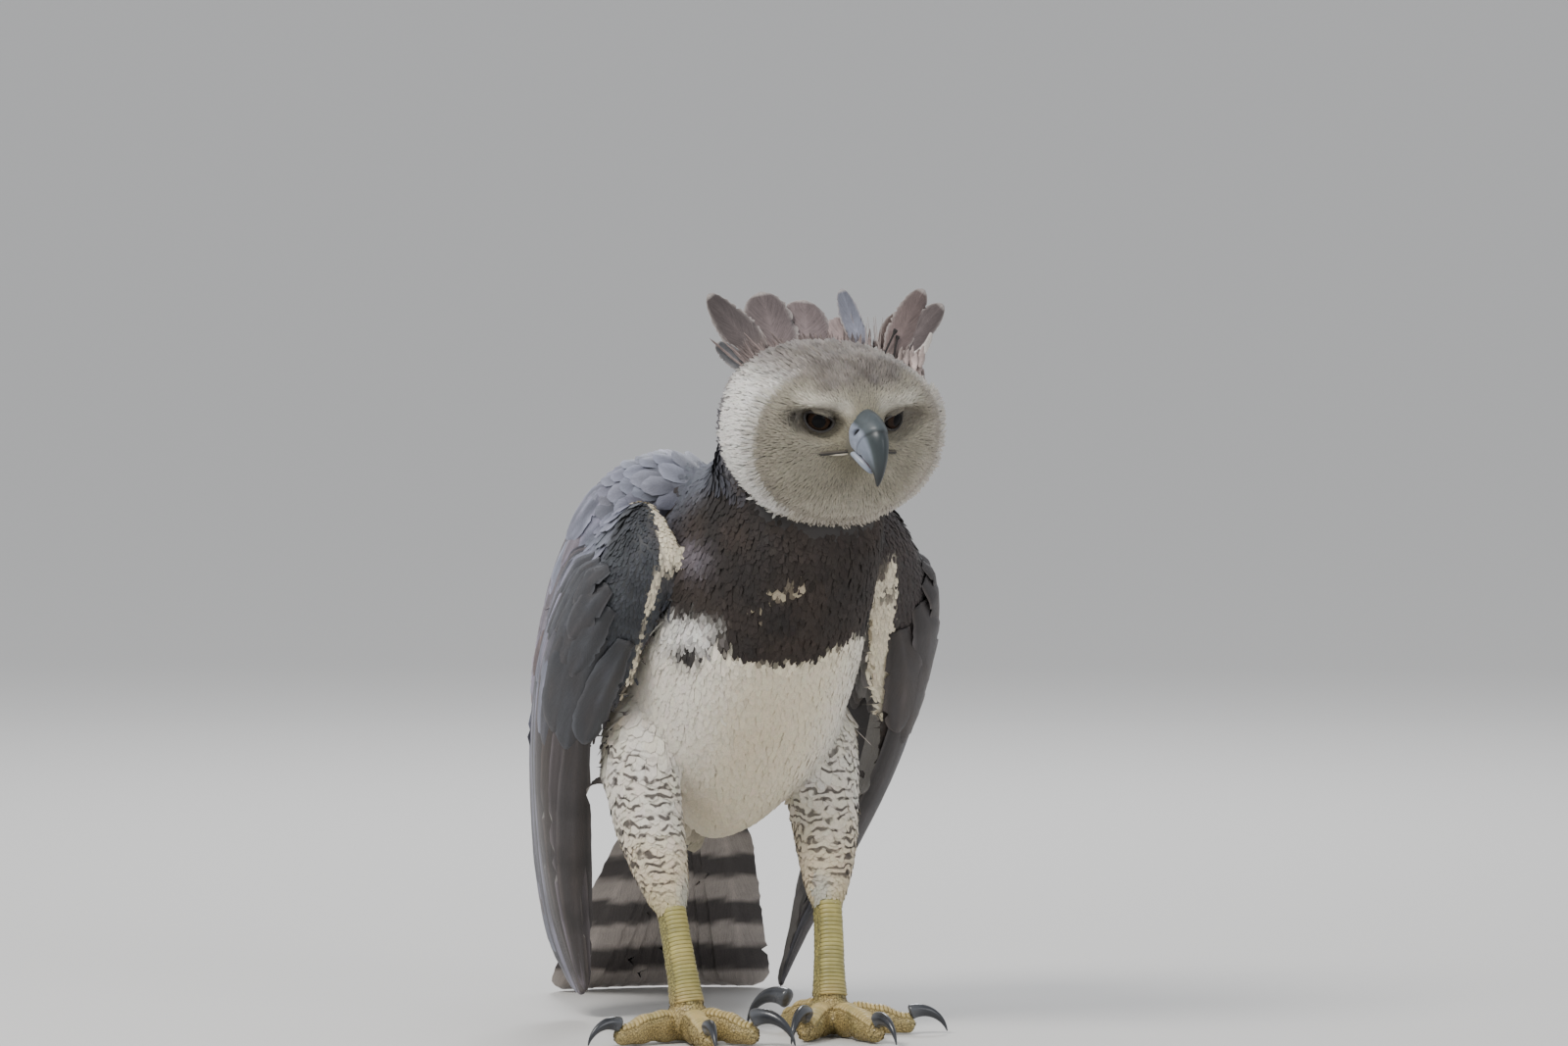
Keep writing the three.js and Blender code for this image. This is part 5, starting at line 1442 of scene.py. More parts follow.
for side, word in ((1, "left"), (-1, "right")):
    rng = np.random.default_rng(90 + side)
    wing = Plumes("feathers_wing_" + word, "wing_feathers", QUILL, 10)
    front_dark = 0.85 if side > 0 else 0.0

    def tone_of(f, v, layer):
        """Base colour of a wing feather f of the way from the leading edge to the back."""
        blue = smooth(f, 0.18, 0.45) * (1 - front_dark * smooth(f, 0.95, 0.4))
        front = lerp(np.array([0.043, 0.045, 0.051]), BROWN * 0.85, float(smooth(v, 0.4, 0.8)) if side < 0 else 0.8)
        c = lerp(front, lerp(np.array([0.050, 0.050, 0.058]), SHEEN_BLUE * 0.85, rng.random() ** 1.6), blue)
        c = lerp(c, np.array([0.10, 0.078, 0.074]), (rng.random() < 0.22) * 0.7 * blue)
        return c * rng.uniform(0.82, 1.15)

    def flight_colour(base, f):
        k = rng.uniform(0, 1)
        def colour(p, s, w, under):
            c = feather_tone(rng, base, s, w, under, edge=0.8, side_dark=0.35)
            bars = smooth(np.sin((s + 0.025 * np.abs(w) + 0.01 * noise(p, 12, 7)) * 2 * PI * 5.2 + k), 0.15, 0.75)
            c = c * (1 - 0.30 * bars * smooth(s, 0.25, 0.5))[:, None]
            pale = np.array([0.33, 0.31, 0.29]) * (1 - 0.5 * bars)[:, None]
            return np.where(under[:, None], pale * lerp(0.9, 0.55, s)[:, None], c)
        return colour

    n = 15
    for k in range(n):
        f = k / (n - 1)
        u0, v0 = lerp(0.10, 0.84, f ** 0.9), lerp(0.42, 0.33, f)
        u1 = lerp(0.10, 1.0, float(smooth(f, 0, 0.5)))
        v1 = lerp(0.985, 1.02, f / 0.3) if f < 0.3 else lerp(1.02, 0.62, (f - 0.3) / 0.7)
        v1 += rng.uniform(-0.008, 0.008)
        p, up, s = wing_path(u0, v0, u1, v1, 34, -1.5 + 3.0 * f, 0.0 + 3.5 * f)
        width = lerp(33, 50, float(smooth(f, 0, 0.45)))
        pinch = 1 - 0.35 * smooth(s, 0.55, 1.0) * (f < 0.35)
        half = width / 2 * tip_shape(s, 0.80 if f > 0.3 else 0.7) * pinch
        own = tone_of(max(f, 0.22 + 0.5 * (k % 3 == 1)), v1, 0) * (1.0, 0.75, 1.25)[k % 3]
        wing.add(big_feather(p, up, half, 9, 1.0, 0.2, math.radians(-9), 3, 100 + k, ragged=0.02, slant=0.5), flight_colour(own, f), side < 0)
    # greater coverts, then two rows of rounded middle coverts
    for row, (count, u_a, u_b, v_a, v_b, reach, width, lift, rows) in enumerate((
            (13, 0.03, 0.90, 0.345, 0.315, 0.225, 36, 1.4, 22),
            (12, 0.12, 0.93, 0.285, 0.265, 0.150, 33, 2.2, 18),
            (13, 0.18, 0.95, 0.225, 0.215, 0.125, 29, 2.8, 16),
            (13, 0.24, 0.97, 0.170, 0.165, 0.105, 26, 3.2, 14))):
        for k in range(count):
            f = k / (count - 1)
            u0 = lerp(u_a, u_b, f) + rng.uniform(-0.008, 0.008)
            v0 = lerp(v_a, v_b, f) + rng.uniform(-0.01, 0.01)
            long = reach * rng.uniform(0.92, 1.1) * (1.0 if row else lerp(0.85, 1.08, f))
            p, up, s = wing_path(u0, v0, min(u0 + 0.05 + 0.06 * f, 1.0), v0 + long, rows, -5.5, lift + rng.uniform(-0.5, 0.8))
            half = width / 2 * rng.uniform(0.85, 1.1) * tip_shape(s, 0.60 if row else 0.70, 0.6, 0.35, 1.9)
            base = tone_of(f, v0, 1)
            col = lambda p, s, w, under, base=base, row=row: feather_tone(rng, base, s, w, under, edge=0.75 if row else 0.5, side_dark=0.18)
            wing.add(big_feather(p, up, half, 9, 0.9, 0.27, math.radians(-5 + rng.uniform(-4, 4)), 2, 200 + 40 * row + k, ragged=0.03, slant=0.5), col, side < 0)
    # lining: longer pale coverts under the wing, and the flight feathers' roots behind them
    for k in range(9):
        f = k / 8
        u0 = lerp(0.10, 0.50, f)
        s = np.linspace(0, 1, 16)
        v = lerp(0.34, 0.62 + 0.04 * f, s)
        p = wing_point(lerp(u0, u0 + 0.08, s), v)
        nn = wing_normal(np.clip(u0 + 0 * s, 0.05, 0.95), v)
        p = p - nn * (along(WING_DEPTH, v) * 0.92 * np.sqrt(np.clip(1 - (2 * u0 - 1) ** 6, 0, 1)) + 1 - 2 * s[:, None])
        half = 21 * tip_shape(s, 0.65, 0.6, 0.35, 2.0)
        col = lambda p, s, w, under: np.array([0.42, 0.39, 0.35]) * (1 - 0.45 * smooth(s, 0.5, 0.9) * (np.abs(w) < 0.8))[:, None] * lerp(0.75, 1.0, s)[:, None]
        wing.add(big_feather(p, -nn, half, 7, 0.8, 0.12, 0.0, 1, 500 + k, slant=0.5), col, side < 0)
    # shoulder feathers: long rounded ones that hang from the cape over the wing's upper edge
    cape = lambda t, a, g: limb(CAPE, t, a, g, 0.2, side=(1, -0.3, 0.25))
    for row, (t0, count, reach, width) in enumerate(((0.30, 6, 0.22, 34), (0.44, 6, 0.24, 36), (0.58, 6, 0.24, 34), (0.72, 5, 0.22, 30))):
        for k in range(count):
            f = k / (count - 1)
            a0 = lerp(-1.25, 1.75, f) + (0.12 if row % 2 else 0)
            s = np.linspace(0, 1, 18)
            t = np.minimum(t0 + reach * rng.uniform(0.9, 1.1) * s, 0.985)
            a = a0 + 0 * s
            p = cape(t, a, 0.0)
            outn = unit(cape(t, a, 6.0) - cape(t, a, 0.0))
            p = p + outn * lerp(-4.0, 2.2, s ** 0.7)[:, None]
            half = width / 2 * rng.uniform(0.93, 1.07) * tip_shape(s, 0.62, 0.6, 0.35, 2.0)
            base = lerp(SLATE * 1.25, SHEEN_BLUE * 1.02, rng.uniform(0.2, 0.9)) * rng.uniform(0.85, 1.1)
            base = lerp(base, np.array([0.13, 0.10, 0.095]), (rng.random() < 0.3) * 0.6)
            col = lambda p, s, w, under, base=base: feather_tone(rng, base, s, w, under, edge=0.6, side_dark=0.1)
            wing.add(big_feather(p, outn, half, 9, 0.9, 0.2, 0.0, 1, 600 + 20 * row + k, slant=0.5), col, side < 0)
    # loose brown-edged feathers that stick out behind the shoulder
    for k in range(9):
        t0 = 0.36 + 0.055 * k
        s = np.linspace(0, 1, 18)
        a0 = rng.uniform(0.9, 1.6)
        t = np.minimum(t0 + 0.20 * s, 0.99)
        p = cape(t, a0 + 0 * s, 0.0)
        outn = unit(cape(t, a0 + 0 * s, 6.0) - p)
        p = p + outn * lerp(-4.0, 5.5, s ** 1.2)[:, None]
        half = rng.uniform(9, 13) * tip_shape(s, 0.45, 0.6, 0.35, 1.5)
        base = lerp(np.array([0.11, 0.082, 0.078]), np.array([0.20, 0.18, 0.21]), rng.random())
        wing.add(big_feather(p, outn, half, 9, 0.8, 0.2, rng.uniform(-0.2, 0.2), 3, 680 + k, ragged=0.05, slant=0.5), lambda p, s, w, under, base=base: feather_tone(rng, base, s, w, under, edge=0.6), side < 0)
    wing.done(("wing_" + word,))

# ---------------------------------------------------------------- tail
tail = Plumes("feathers_tail", "tail_feathers", QUILL, 5)
rng = np.random.default_rng(77)
base_at, length, yaw = np.array([4.0, 196, 232]), 372.0, math.radians(12)
fall = math.asin((232 - 3) / 372)


def tail_colour(k):
    shift = rng.uniform(-0.008, 0.008)
    def colour(p, s, w, under):
        d = s * length + 5 * noise(p, 14, 91) + shift * 300 + 4 * np.abs(w)
        band = smooth(np.cos((d - 26) / 84 * 2 * PI), -0.25, 0.25)
        fine = 1 + 0.12 * noise(p, 6, 92)
        dark_up, grey_up = np.array([0.040, 0.036, 0.037]), np.array([0.165, 0.155, 0.150])
        upper = lerp(dark_up, grey_up, (band * 0.92)[:, None]) * fine[:, None]
        upper = lerp(upper, np.array([0.34, 0.32, 0.30]), (smooth(s, 0.955, 0.985) * 0.8)[:, None])
        lower = lerp(np.array([0.062, 0.054, 0.052]), np.array([0.40, 0.355, 0.325]), (band * 0.95)[:, None]) * fine[:, None]
        c = np.where(under[:, None], lower, upper)
        return c * (lerp(0.8, 1.0, smooth(s, 0.1, 0.4)) * (1 + 0.25 * np.exp(-((w / 0.08) ** 2))))[:, None]
    return colour


order = [0, 11, 1, 10, 2, 9, 3, 8, 4, 7, 5, 6]
for k in order:
    f = 2 * k / 11 - 1
    turn, reach = yaw + f * math.radians(13), length * (1 - 0.035 * f * f)
    flat = reach * math.cos(fall)
    a = base_at + (24 * f, 4, -2 - 6 * f * f)
    b = np.array([4 + 24 * f + flat * math.sin(turn), 196 + flat * math.cos(turn), 1.2])
    s = np.linspace(0, 1, 46)
    p = a + (b - a) * s[:, None]
    p[:, 2] += (7 - 3 * abs(f)) * np.sin(PI * s)
    p[:, 2] -= 2.6 * abs(f) * np.sin(PI * np.clip(s, 0, 1) * 0.5) * (1 - s)
    side_way = unit(np.array([math.cos(turn), -math.sin(turn), 0]))
    upn = unit(np.cross(side_way, unit(b - a)))
    upn = upn if upn[2] > 0 else -upn
    half = 26 * tip_shape(s, 0.9, 0.5, 0.3, 2.4)
    p[:, 2] = np.maximum(p[:, 2], 1.1)
    tail.add(big_feather(p, np.tile(upn, (46, 1)), half, 11, 1.0, 0.05, math.radians(2.2) * f, 2, 700 + k, slant=0.45), tail_colour(k))
tail.done(("tail",))

# ---------------------------------------------------------------- crest
CREST = [
    [-70, 26, 56, -93, 50, 80, 18], [-50, 38, 64, -88, 78, 124, 38], [-32, 36, 66, -33, 80, 125, 50],
    [-4, 38, 68, 10, 76, 117, 54], [32, 38, 70, 46, 66, 101, 38], [53, 36, 70, 44, 68, 127, 20],
    [72, 24, 62, 121, 50, 126, 29], [76, 30, 58, 137, 42, 112, 27], [-58, 40, 62, -66, 72, 108, 34],
    [10, 44, 66, 26, 70, 98, 34], [76, 34, 62, 96, 52, 104, 26], [100, 28, 58, 124, 40, 86, 13],
]
CREST_TONES = [[0.085, 0.085, 0.09], [0.062, 0.050, 0.049], [0.105, 0.083, 0.082], [0.155, 0.122, 0.120], [0.27, 0.21, 0.20],
               [0.145, 0.15, 0.185], [0.115, 0.085, 0.08], [0.10, 0.08, 0.078], [0.075, 0.06, 0.058], [0.22, 0.165, 0.155], [0.11, 0.08, 0.072], [0.52, 0.48, 0.44]]
crest = Plumes("feathers_crest", "crest_feathers", CREST_VANE, 17)
rng = np.random.default_rng(55)


def crest_path(a, b, rows, bend=4.0):
    s = np.linspace(0, 1, rows)
    a, b = np.array(a, float), np.array(b, float)
    way = unit(b - a)
    facing = np.array([0.22, 1.0, 0.0])
    upv = unit(facing - way * float(way @ facing))
    p = a + (b - a) * s[:, None] + upv * (bend * np.sin(PI * s))[:, None]
    return crest_out(p), np.tile(upv @ CREST_R.T, (rows, 1)), s


def crest_colour(base, edge=0.9, line=0.25):
    base = np.array(base)
    def colour(p, s, w, under):
        c = np.tile(base, (len(s), 1)) * (1 + 0.10 * noise(p, 5, 94))[:, None]
        rim = smooth(np.maximum(np.abs(w), 0.4 + 0.6 * smooth(s, 0.86, 0.995)), 0.80, 1.0)
        c = c * lerp(1.25, 0.85, smooth(s, 0.3, 0.9))[:, None]
        c = blend(c, np.array([0.42, 0.385, 0.36]), np.clip(rim * edge * 0.7, 0, 1))
        c = c * (1 + line * np.exp(-((w / 0.12) ** 2)))[:, None]
        return blend(c, np.array([0.24, 0.19, 0.17]), smooth(s, 0.36, 0.0) * 0.5)
    return colour


for k, row in enumerate(CREST):
    p, upv, s = crest_path(row[:3], row[3:6], 34)
    half = row[6] / 2 * tip_shape(s, 0.52 if k != 1 else 0.30, 0.62, 0.42, 2.0 if k != 1 else 1.25)
    crest.add(big_feather(p, -upv, half, 15, 0.7, 0.18, rng.uniform(-0.08, 0.08), 6, 800 + k, shaft=0.45, ragged=0.03, slant=0.25), crest_colour(CREST_TONES[k]))
# shorter feathers fill the row from side to side, behind and before the long ones
for k in range(330):
    f = k / 329
    x = lerp(-74, 92, f) + rng.uniform(-3, 3)
    back = rng.uniform(-10, 18)
    a = np.array([x, 26 + back + 10 * (1 - (2 * f - 1) ** 2), 70 - 12 * (2 * f - 1) ** 2 - 0.1 * back])
    lean_x = (f - 0.5) * 40 + rng.uniform(-12, 12)
    long = rng.uniform(6, 20) * (1.35 if k % 7 == 0 else 1.0)
    b = a + np.array([lean_x * 0.03 * long, long * 0.9, long])
    p, upv, s = crest_path(a, b, 10, 2.0)
    half = rng.uniform(0.8, 2.1) * tip_shape(s, 0.4, 0.5, 0.5, 1.4)
    tone = lerp(np.array([0.085, 0.066, 0.062]), np.array([0.24, 0.185, 0.172]), rng.random() ** 1.4)
    crest.add(big_feather(p, -upv, half, 5, 0.5, 0.25, rng.uniform(-0.6, 0.6), 2, 850 + k, shaft=0.2, ragged=0.08, slant=0.6), crest_colour(tone, 0.15, 0.05))
# fluff at the ruff's upper corner on the head's +x side, wisps between the long feathers and two bare stalks
for k in range(96):
    right = True
    x, z = (rng.uniform(78, 97), rng.uniform(26, 58)) if right else (-rng.uniform(66, 90), rng.uniform(30, 56))
    a = np.array([x, rng.uniform(-4, 30), z])
    b = a + np.array([math.copysign(rng.uniform(3, 9), x), rng.uniform(4, 16), rng.uniform(9, 19)])
    p, upv, s = crest_path(a, b, 12, 2.0)
    half = rng.uniform(1.8, 4.0) * tip_shape(s, 0.5, 0.6, 0.5, 1.6)
    tone = lerp(np.array([0.14, 0.11, 0.10]), np.array([0.46, 0.37, 0.34]), rng.random()) if right else np.array([0.42, 0.38, 0.35]) * rng.uniform(0.6, 1.2)
    crest.add(big_feather(p, -upv, half, 7, 0.6, 0.25, rng.uniform(-0.4, 0.4), 3, 950 + k, shaft=0.2, ragged=0.09, slant=0.6), crest_colour(tone, 0.4, 0.1))
for k in range(30):
    x = rng.uniform(40, 84)
    a = np.array([x, rng.uniform(28, 44), 70 - 0.0015 * x * x])
    b = a + np.array([rng.uniform(-8, 14), rng.uniform(14, 30), rng.uniform(22, 42) - 0.1 * abs(x - 66)])
    p, upv, s = crest_path(a, b, 12, 2.5)
    half = rng.uniform(0.5, 0.9) * lerp(1.0, 0.35, s)
    crest.add(big_feather(p, -upv, half, 3, 0.5, 0.1, 0.0, 0, 1000 + k, shaft=0.2, ragged=0.0, slant=0.0), crest_colour(np.array([0.30, 0.25, 0.23]), 0.2, 0.0))
for k, (ax, bx, bz) in enumerate(((62, 84, 90), (74, 86, 84))):
    a, b = np.array([ax, 20.0, 62]), np.array([bx, 34.0, bz])
    p, upv, s = crest_path(a, b, 14, 1.0)
    half = 1.0 + 1.2 * smooth(s, 0.82, 0.95)
    crest.add(big_feather(p, -upv, half, 5, 1.4, 0.0, 0.0, 0, 1050 + k, shaft=0.2, ragged=0.0, slant=0.0), lambda p, s, w, under: np.tile(np.array([0.018, 0.015, 0.014]), (len(s), 1)))
crest.done(("crest",))


# ---------------------------------------------------------------- horn, eyes and lids
def colour_material(name, rough, coat=0.0, coat_rough=0.1, bump=0.3, grain=260.0, far=0.0004, lines=0.0, spec=0.5, sheen=0.0, mottle=0.25):
    """Takes its colours from the tint, mottled, with a fine uneven surface."""
    m, nodes, links = node_material(name)
    bsdf = nodes["Principled BSDF"]
    where = node(nodes, "ShaderNodeTexCoord").outputs["Object"]
    fine = node(nodes, "ShaderNodeTexNoise", in_Scale=grain, in_Detail=4.0, in_Roughness=0.6)
    links.new(where, fine.inputs["Vector"])
    broad = node(nodes, "ShaderNodeTexNoise", in_Scale=grain * 0.16, in_Detail=3.0)
    links.new(where, broad.inputs["Vector"])
    colour = node(nodes, "ShaderNodeAttribute", attribute_name="tint").outputs["Color"]
    tone = maths(nodes, links, "ADD", maths(nodes, links, "MULTIPLY", maths(nodes, links, "SUBTRACT", broad.outputs["Fac"], 0.5), mottle * 2), 1.0)
    tone = maths(nodes, links, "ADD", tone, maths(nodes, links, "MULTIPLY", maths(nodes, links, "SUBTRACT", fine.outputs["Fac"], 0.5), mottle))
    scale = node(nodes, "ShaderNodeVectorMath", operation="SCALE")
    links.new(colour, scale.inputs[0])
    links.new(tone, scale.inputs["Scale"])
    links.new(scale.outputs[0], bsdf.inputs["Base Color"])
    high = fine.outputs["Fac"]
    if lines:
        uv = node(nodes, "ShaderNodeUVMap", uv_map="vane")
        xyz = node(nodes, "ShaderNodeSeparateXYZ")
        links.new(uv.outputs[0], xyz.inputs[0])
        comb = node(nodes, "ShaderNodeCombineXYZ")
        links.new(maths(nodes, links, "MULTIPLY", xyz.outputs[0], lines), comb.inputs[0])
        links.new(maths(nodes, links, "MULTIPLY", xyz.outputs[1], 3.0), comb.inputs[1])
        streak = node(nodes, "ShaderNodeTexNoise", in_Scale=1.0, in_Detail=2.0)
        links.new(comb.outputs[0], streak.inputs["Vector"])
        high = maths(nodes, links, "ADD", maths(nodes, links, "MULTIPLY", fine.outputs["Fac"], 0.4), streak.outputs["Fac"])
    wear = maths(nodes, links, "ADD", maths(nodes, links, "MULTIPLY", broad.outputs["Fac"], 0.22), rough - 0.11, True)
    links.new(wear, bsdf.inputs["Roughness"])
    bsdf.inputs["Specular IOR Level"].default_value = spec
    bsdf.inputs["Coat Weight"].default_value = coat
    bsdf.inputs["Coat Roughness"].default_value = coat_rough
    bsdf.inputs["Sheen Weight"].default_value = sheen
    b = node(nodes, "ShaderNodeBump", in_Strength=bump, in_Distance=far)
    links.new(high, b.inputs["Height"])
    links.new(b.outputs[0], bsdf.inputs["Normal"])
    return m


HORN = colour_material("bill_horn", 0.40, 0.10, 0.25, 0.25, 320.0, 0.0003, lines=26.0, spec=0.35)
CLAW = colour_material("claw_horn", 0.30, 0.3, 0.2, 0.3, 300.0, 0.0003, lines=30.0)
EYE = colour_material("eye", 0.25, 0.25, 0.02, 0.0, 200.0, 0.0001, spec=0.04, mottle=0.12)
EYE.node_tree.nodes["Principled BSDF"].inputs["Coat IOR"].default_value = 1.30
FLESH = colour_material("lid_skin", 0.5, 0.1, 0.3, 0.6, 600.0, 0.0005)
SCALE = colour_material("leg_scales", 0.46, 0.12, 0.3, 0.35, 500.0, 0.0004, mottle=0.3)


def solid(name, p, faces, colours, material, stands_for=(), uv=None):
    ob = mesh_object(name, M(p), faces)
    tint(ob, np.clip(colours, 0.002, 0.9))
    if uv is not None:
        uv_map(ob, uv, "vane")
    ob.data.materials.append(material)
    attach(ob, "root")
    if stands_for:
        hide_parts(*stands_for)
    return ob


# upper bill: (x, y, z, half width, above, below) in the head's own directions
BILL_UPPER = [[0, -46, 15, 16.0, 17, 16], [0, -62, 16.5, 16.8, 19.5, 18], [0, -76, 16, 15.8, 20, 20], [0, -90, 10.5, 12.6, 18, 20.5],
              [0, -99.5, -2, 8.6, 12, 14], [0, -103.8, -15, 4.5, 6, 6.2], [0, -103, -27, 1.2, 1.7, 1.3]]
BILL_LOWER = [[0, -44, -1, 13, 6, 6.0], [0, -60, -1.5, 13.6, 5, 6.0], [0, -72, -5, 12.2, 5, 6.2], [0, -83, -10.5, 8.6, 5, 5.4], [0, -90.5, -15.5, 3.8, 3, 3.2]]


def bill_upper(t, a):
    s = along(BILL_UPPER, t)
    e = 1e-3
    tangent = unit(along(BILL_UPPER, np.minimum(1, t + e))[..., :3] - along(BILL_UPPER, np.maximum(0, t - e))[..., :3])
    up = unit(np.cross(tangent, np.array([1.0, 0, 0])))
    up = np.where((up[..., 2:3] < 0) & (up[..., 1:2] > 0), -up, up)
    c, n = np.cos(a), np.sin(a)
    # the culmen is a rounded ridge, the sides fall steeply to a sharp cutting edge, and the underside is hollow
    r_up, r_low = rounded(c, n, 1.75), rounded(c, n, 2.6)
    mix = smooth(c, -0.15, 0.35)
    r = r_low * (1 - mix) + r_up * mix
    cap = dome(t, 0.09)
    wide, deep = s[..., 3], np.where(c > 0, s[..., 4], s[..., 5])
    edge = 0.45 + 0.05 * np.cos(a)
    cere = smooth(t, edge, edge - 0.03)
    swell = cere * (0.8 * smooth(t, 0.02, 0.2)) - 0.25 * np.exp(-(((t - edge) / 0.012) ** 2))
    hollow = smooth(-c, 0.72, 1.0) * 0.45
    lobe = 1.6 * np.exp(-(((t - 0.60) / 0.055) ** 2)) - 1.3 * np.exp(-(((t - 0.71) / 0.05) ** 2))
    x = n * r * (wide + swell) * cap
    h = c * r * (deep + swell * (c > 0) + lobe * smooth(-c, 0.2, 0.8)) * cap * (1 - hollow)
    # nostril: an upright slit in the side of the cere
    for side in (1, -1):
        d = np.hypot((t - 0.345 - 0.10 * (np.cos(a) - 0.12)) / 0.028, (np.cos(a) - 0.12) / 0.26)
        dent = np.exp(-(d ** 2) * 1.1) * (n * side > 0)
        x = x - side * dent * 5.0
        x = x + side * np.exp(-((d - 1.45) ** 2) * 9) * 0.6 * (n * side > 0) * cere
    p = s[..., :3] + up * h[..., None]
    p[..., 0] += x
    return head_out(p)


p, faces, t, a = grid(bill_upper, 112, 130)
faces = outward(p, faces)
c = np.cos(a)
edge = 0.45 + 0.05 * c
cere = smooth(t, edge, edge - 0.02)
# a dark slate bill: its pale blue-grey sides and darker culmen are painted light and shade, the sides lit and the front
# in shade
col = blend(np.array([0.072, 0.088, 0.090])[None], np.array([0.027, 0.035, 0.038])[None], smooth(c, 0.1, 0.85))
col = blend(col, np.array([0.016, 0.019, 0.021]), smooth(t, 0.62, 0.95))
col = blend(col, np.array([0.21, 0.24, 0.30]), smooth(c, 0.55, 0.15) * smooth(t, 0.82, 0.55))
# the cere likewise is painted pale on its lit sides and dark on top
ccol = blend(np.array([0.255, 0.285, 0.355])[None], np.array([0.056, 0.068, 0.074])[None], smooth(c, 0.28, 0.55))
col = blend(col, ccol * (1 + 0.12 * noise(p, 4, 95) + 0.08 * noise(p, 1.6, 94))[:, None], cere)
# a pale streak low on the bill's side: painted highlight
col = blend(col, np.array([0.34, 0.37, 0.43]), smooth(c, -0.35, -0.7) * smooth(t, 0.70, 0.45) * 0.6)
# the nostril slit is painted near-black: painted shade in its opening
d = np.hypot((t - 0.345 - 0.10 * (c - 0.12)) / 0.028, (c - 0.12) / 0.26)
col = blend(col, np.array([0.008, 0.008, 0.010]), smooth(d, 1.05, 0.62))
col = blend(col, col * 0.45, np.exp(-(((t - edge) / 0.010) ** 2)) * 0.8)
solid("bill_top", p, faces, col, HORN, ("bill_upper",), np.stack([t, a / (2 * PI)], -1))


def bill_lower(t, a):
    s = along(BILL_LOWER, t)
    c, n = np.cos(a), np.sin(a)
    r = rounded(c, n, 2.3)
    cap = dome(t, 0.09)
    x = n * r * s[..., 3] * cap * lerp(1, 0.93, smooth(c, 0, 1))
    h = c * r * np.where(c > 0, s[..., 4] * 0.9, s[..., 5]) * cap
    return head_out(np.stack([x, s[..., 1], s[..., 2] + h], -1))


p, faces, t, a = grid(bill_lower, 72, 60)
c = np.cos(a)
# the lower mandible's pale blue-grey is painted light on a dark mandible
col = blend(np.array([0.30, 0.335, 0.40])[None], np.array([0.20, 0.23, 0.29])[None], smooth(t, 0.55, 0.98))
col = blend(col, np.array([0.10, 0.06, 0.055]), smooth(c, 0.55, 0.9))
solid("bill_bottom", p, outward(p, faces), col * (1 + 0.1 * noise(p, 5, 96))[:, None], HORN, ("bill_lower",), np.stack([t, a / (2 * PI)], -1))

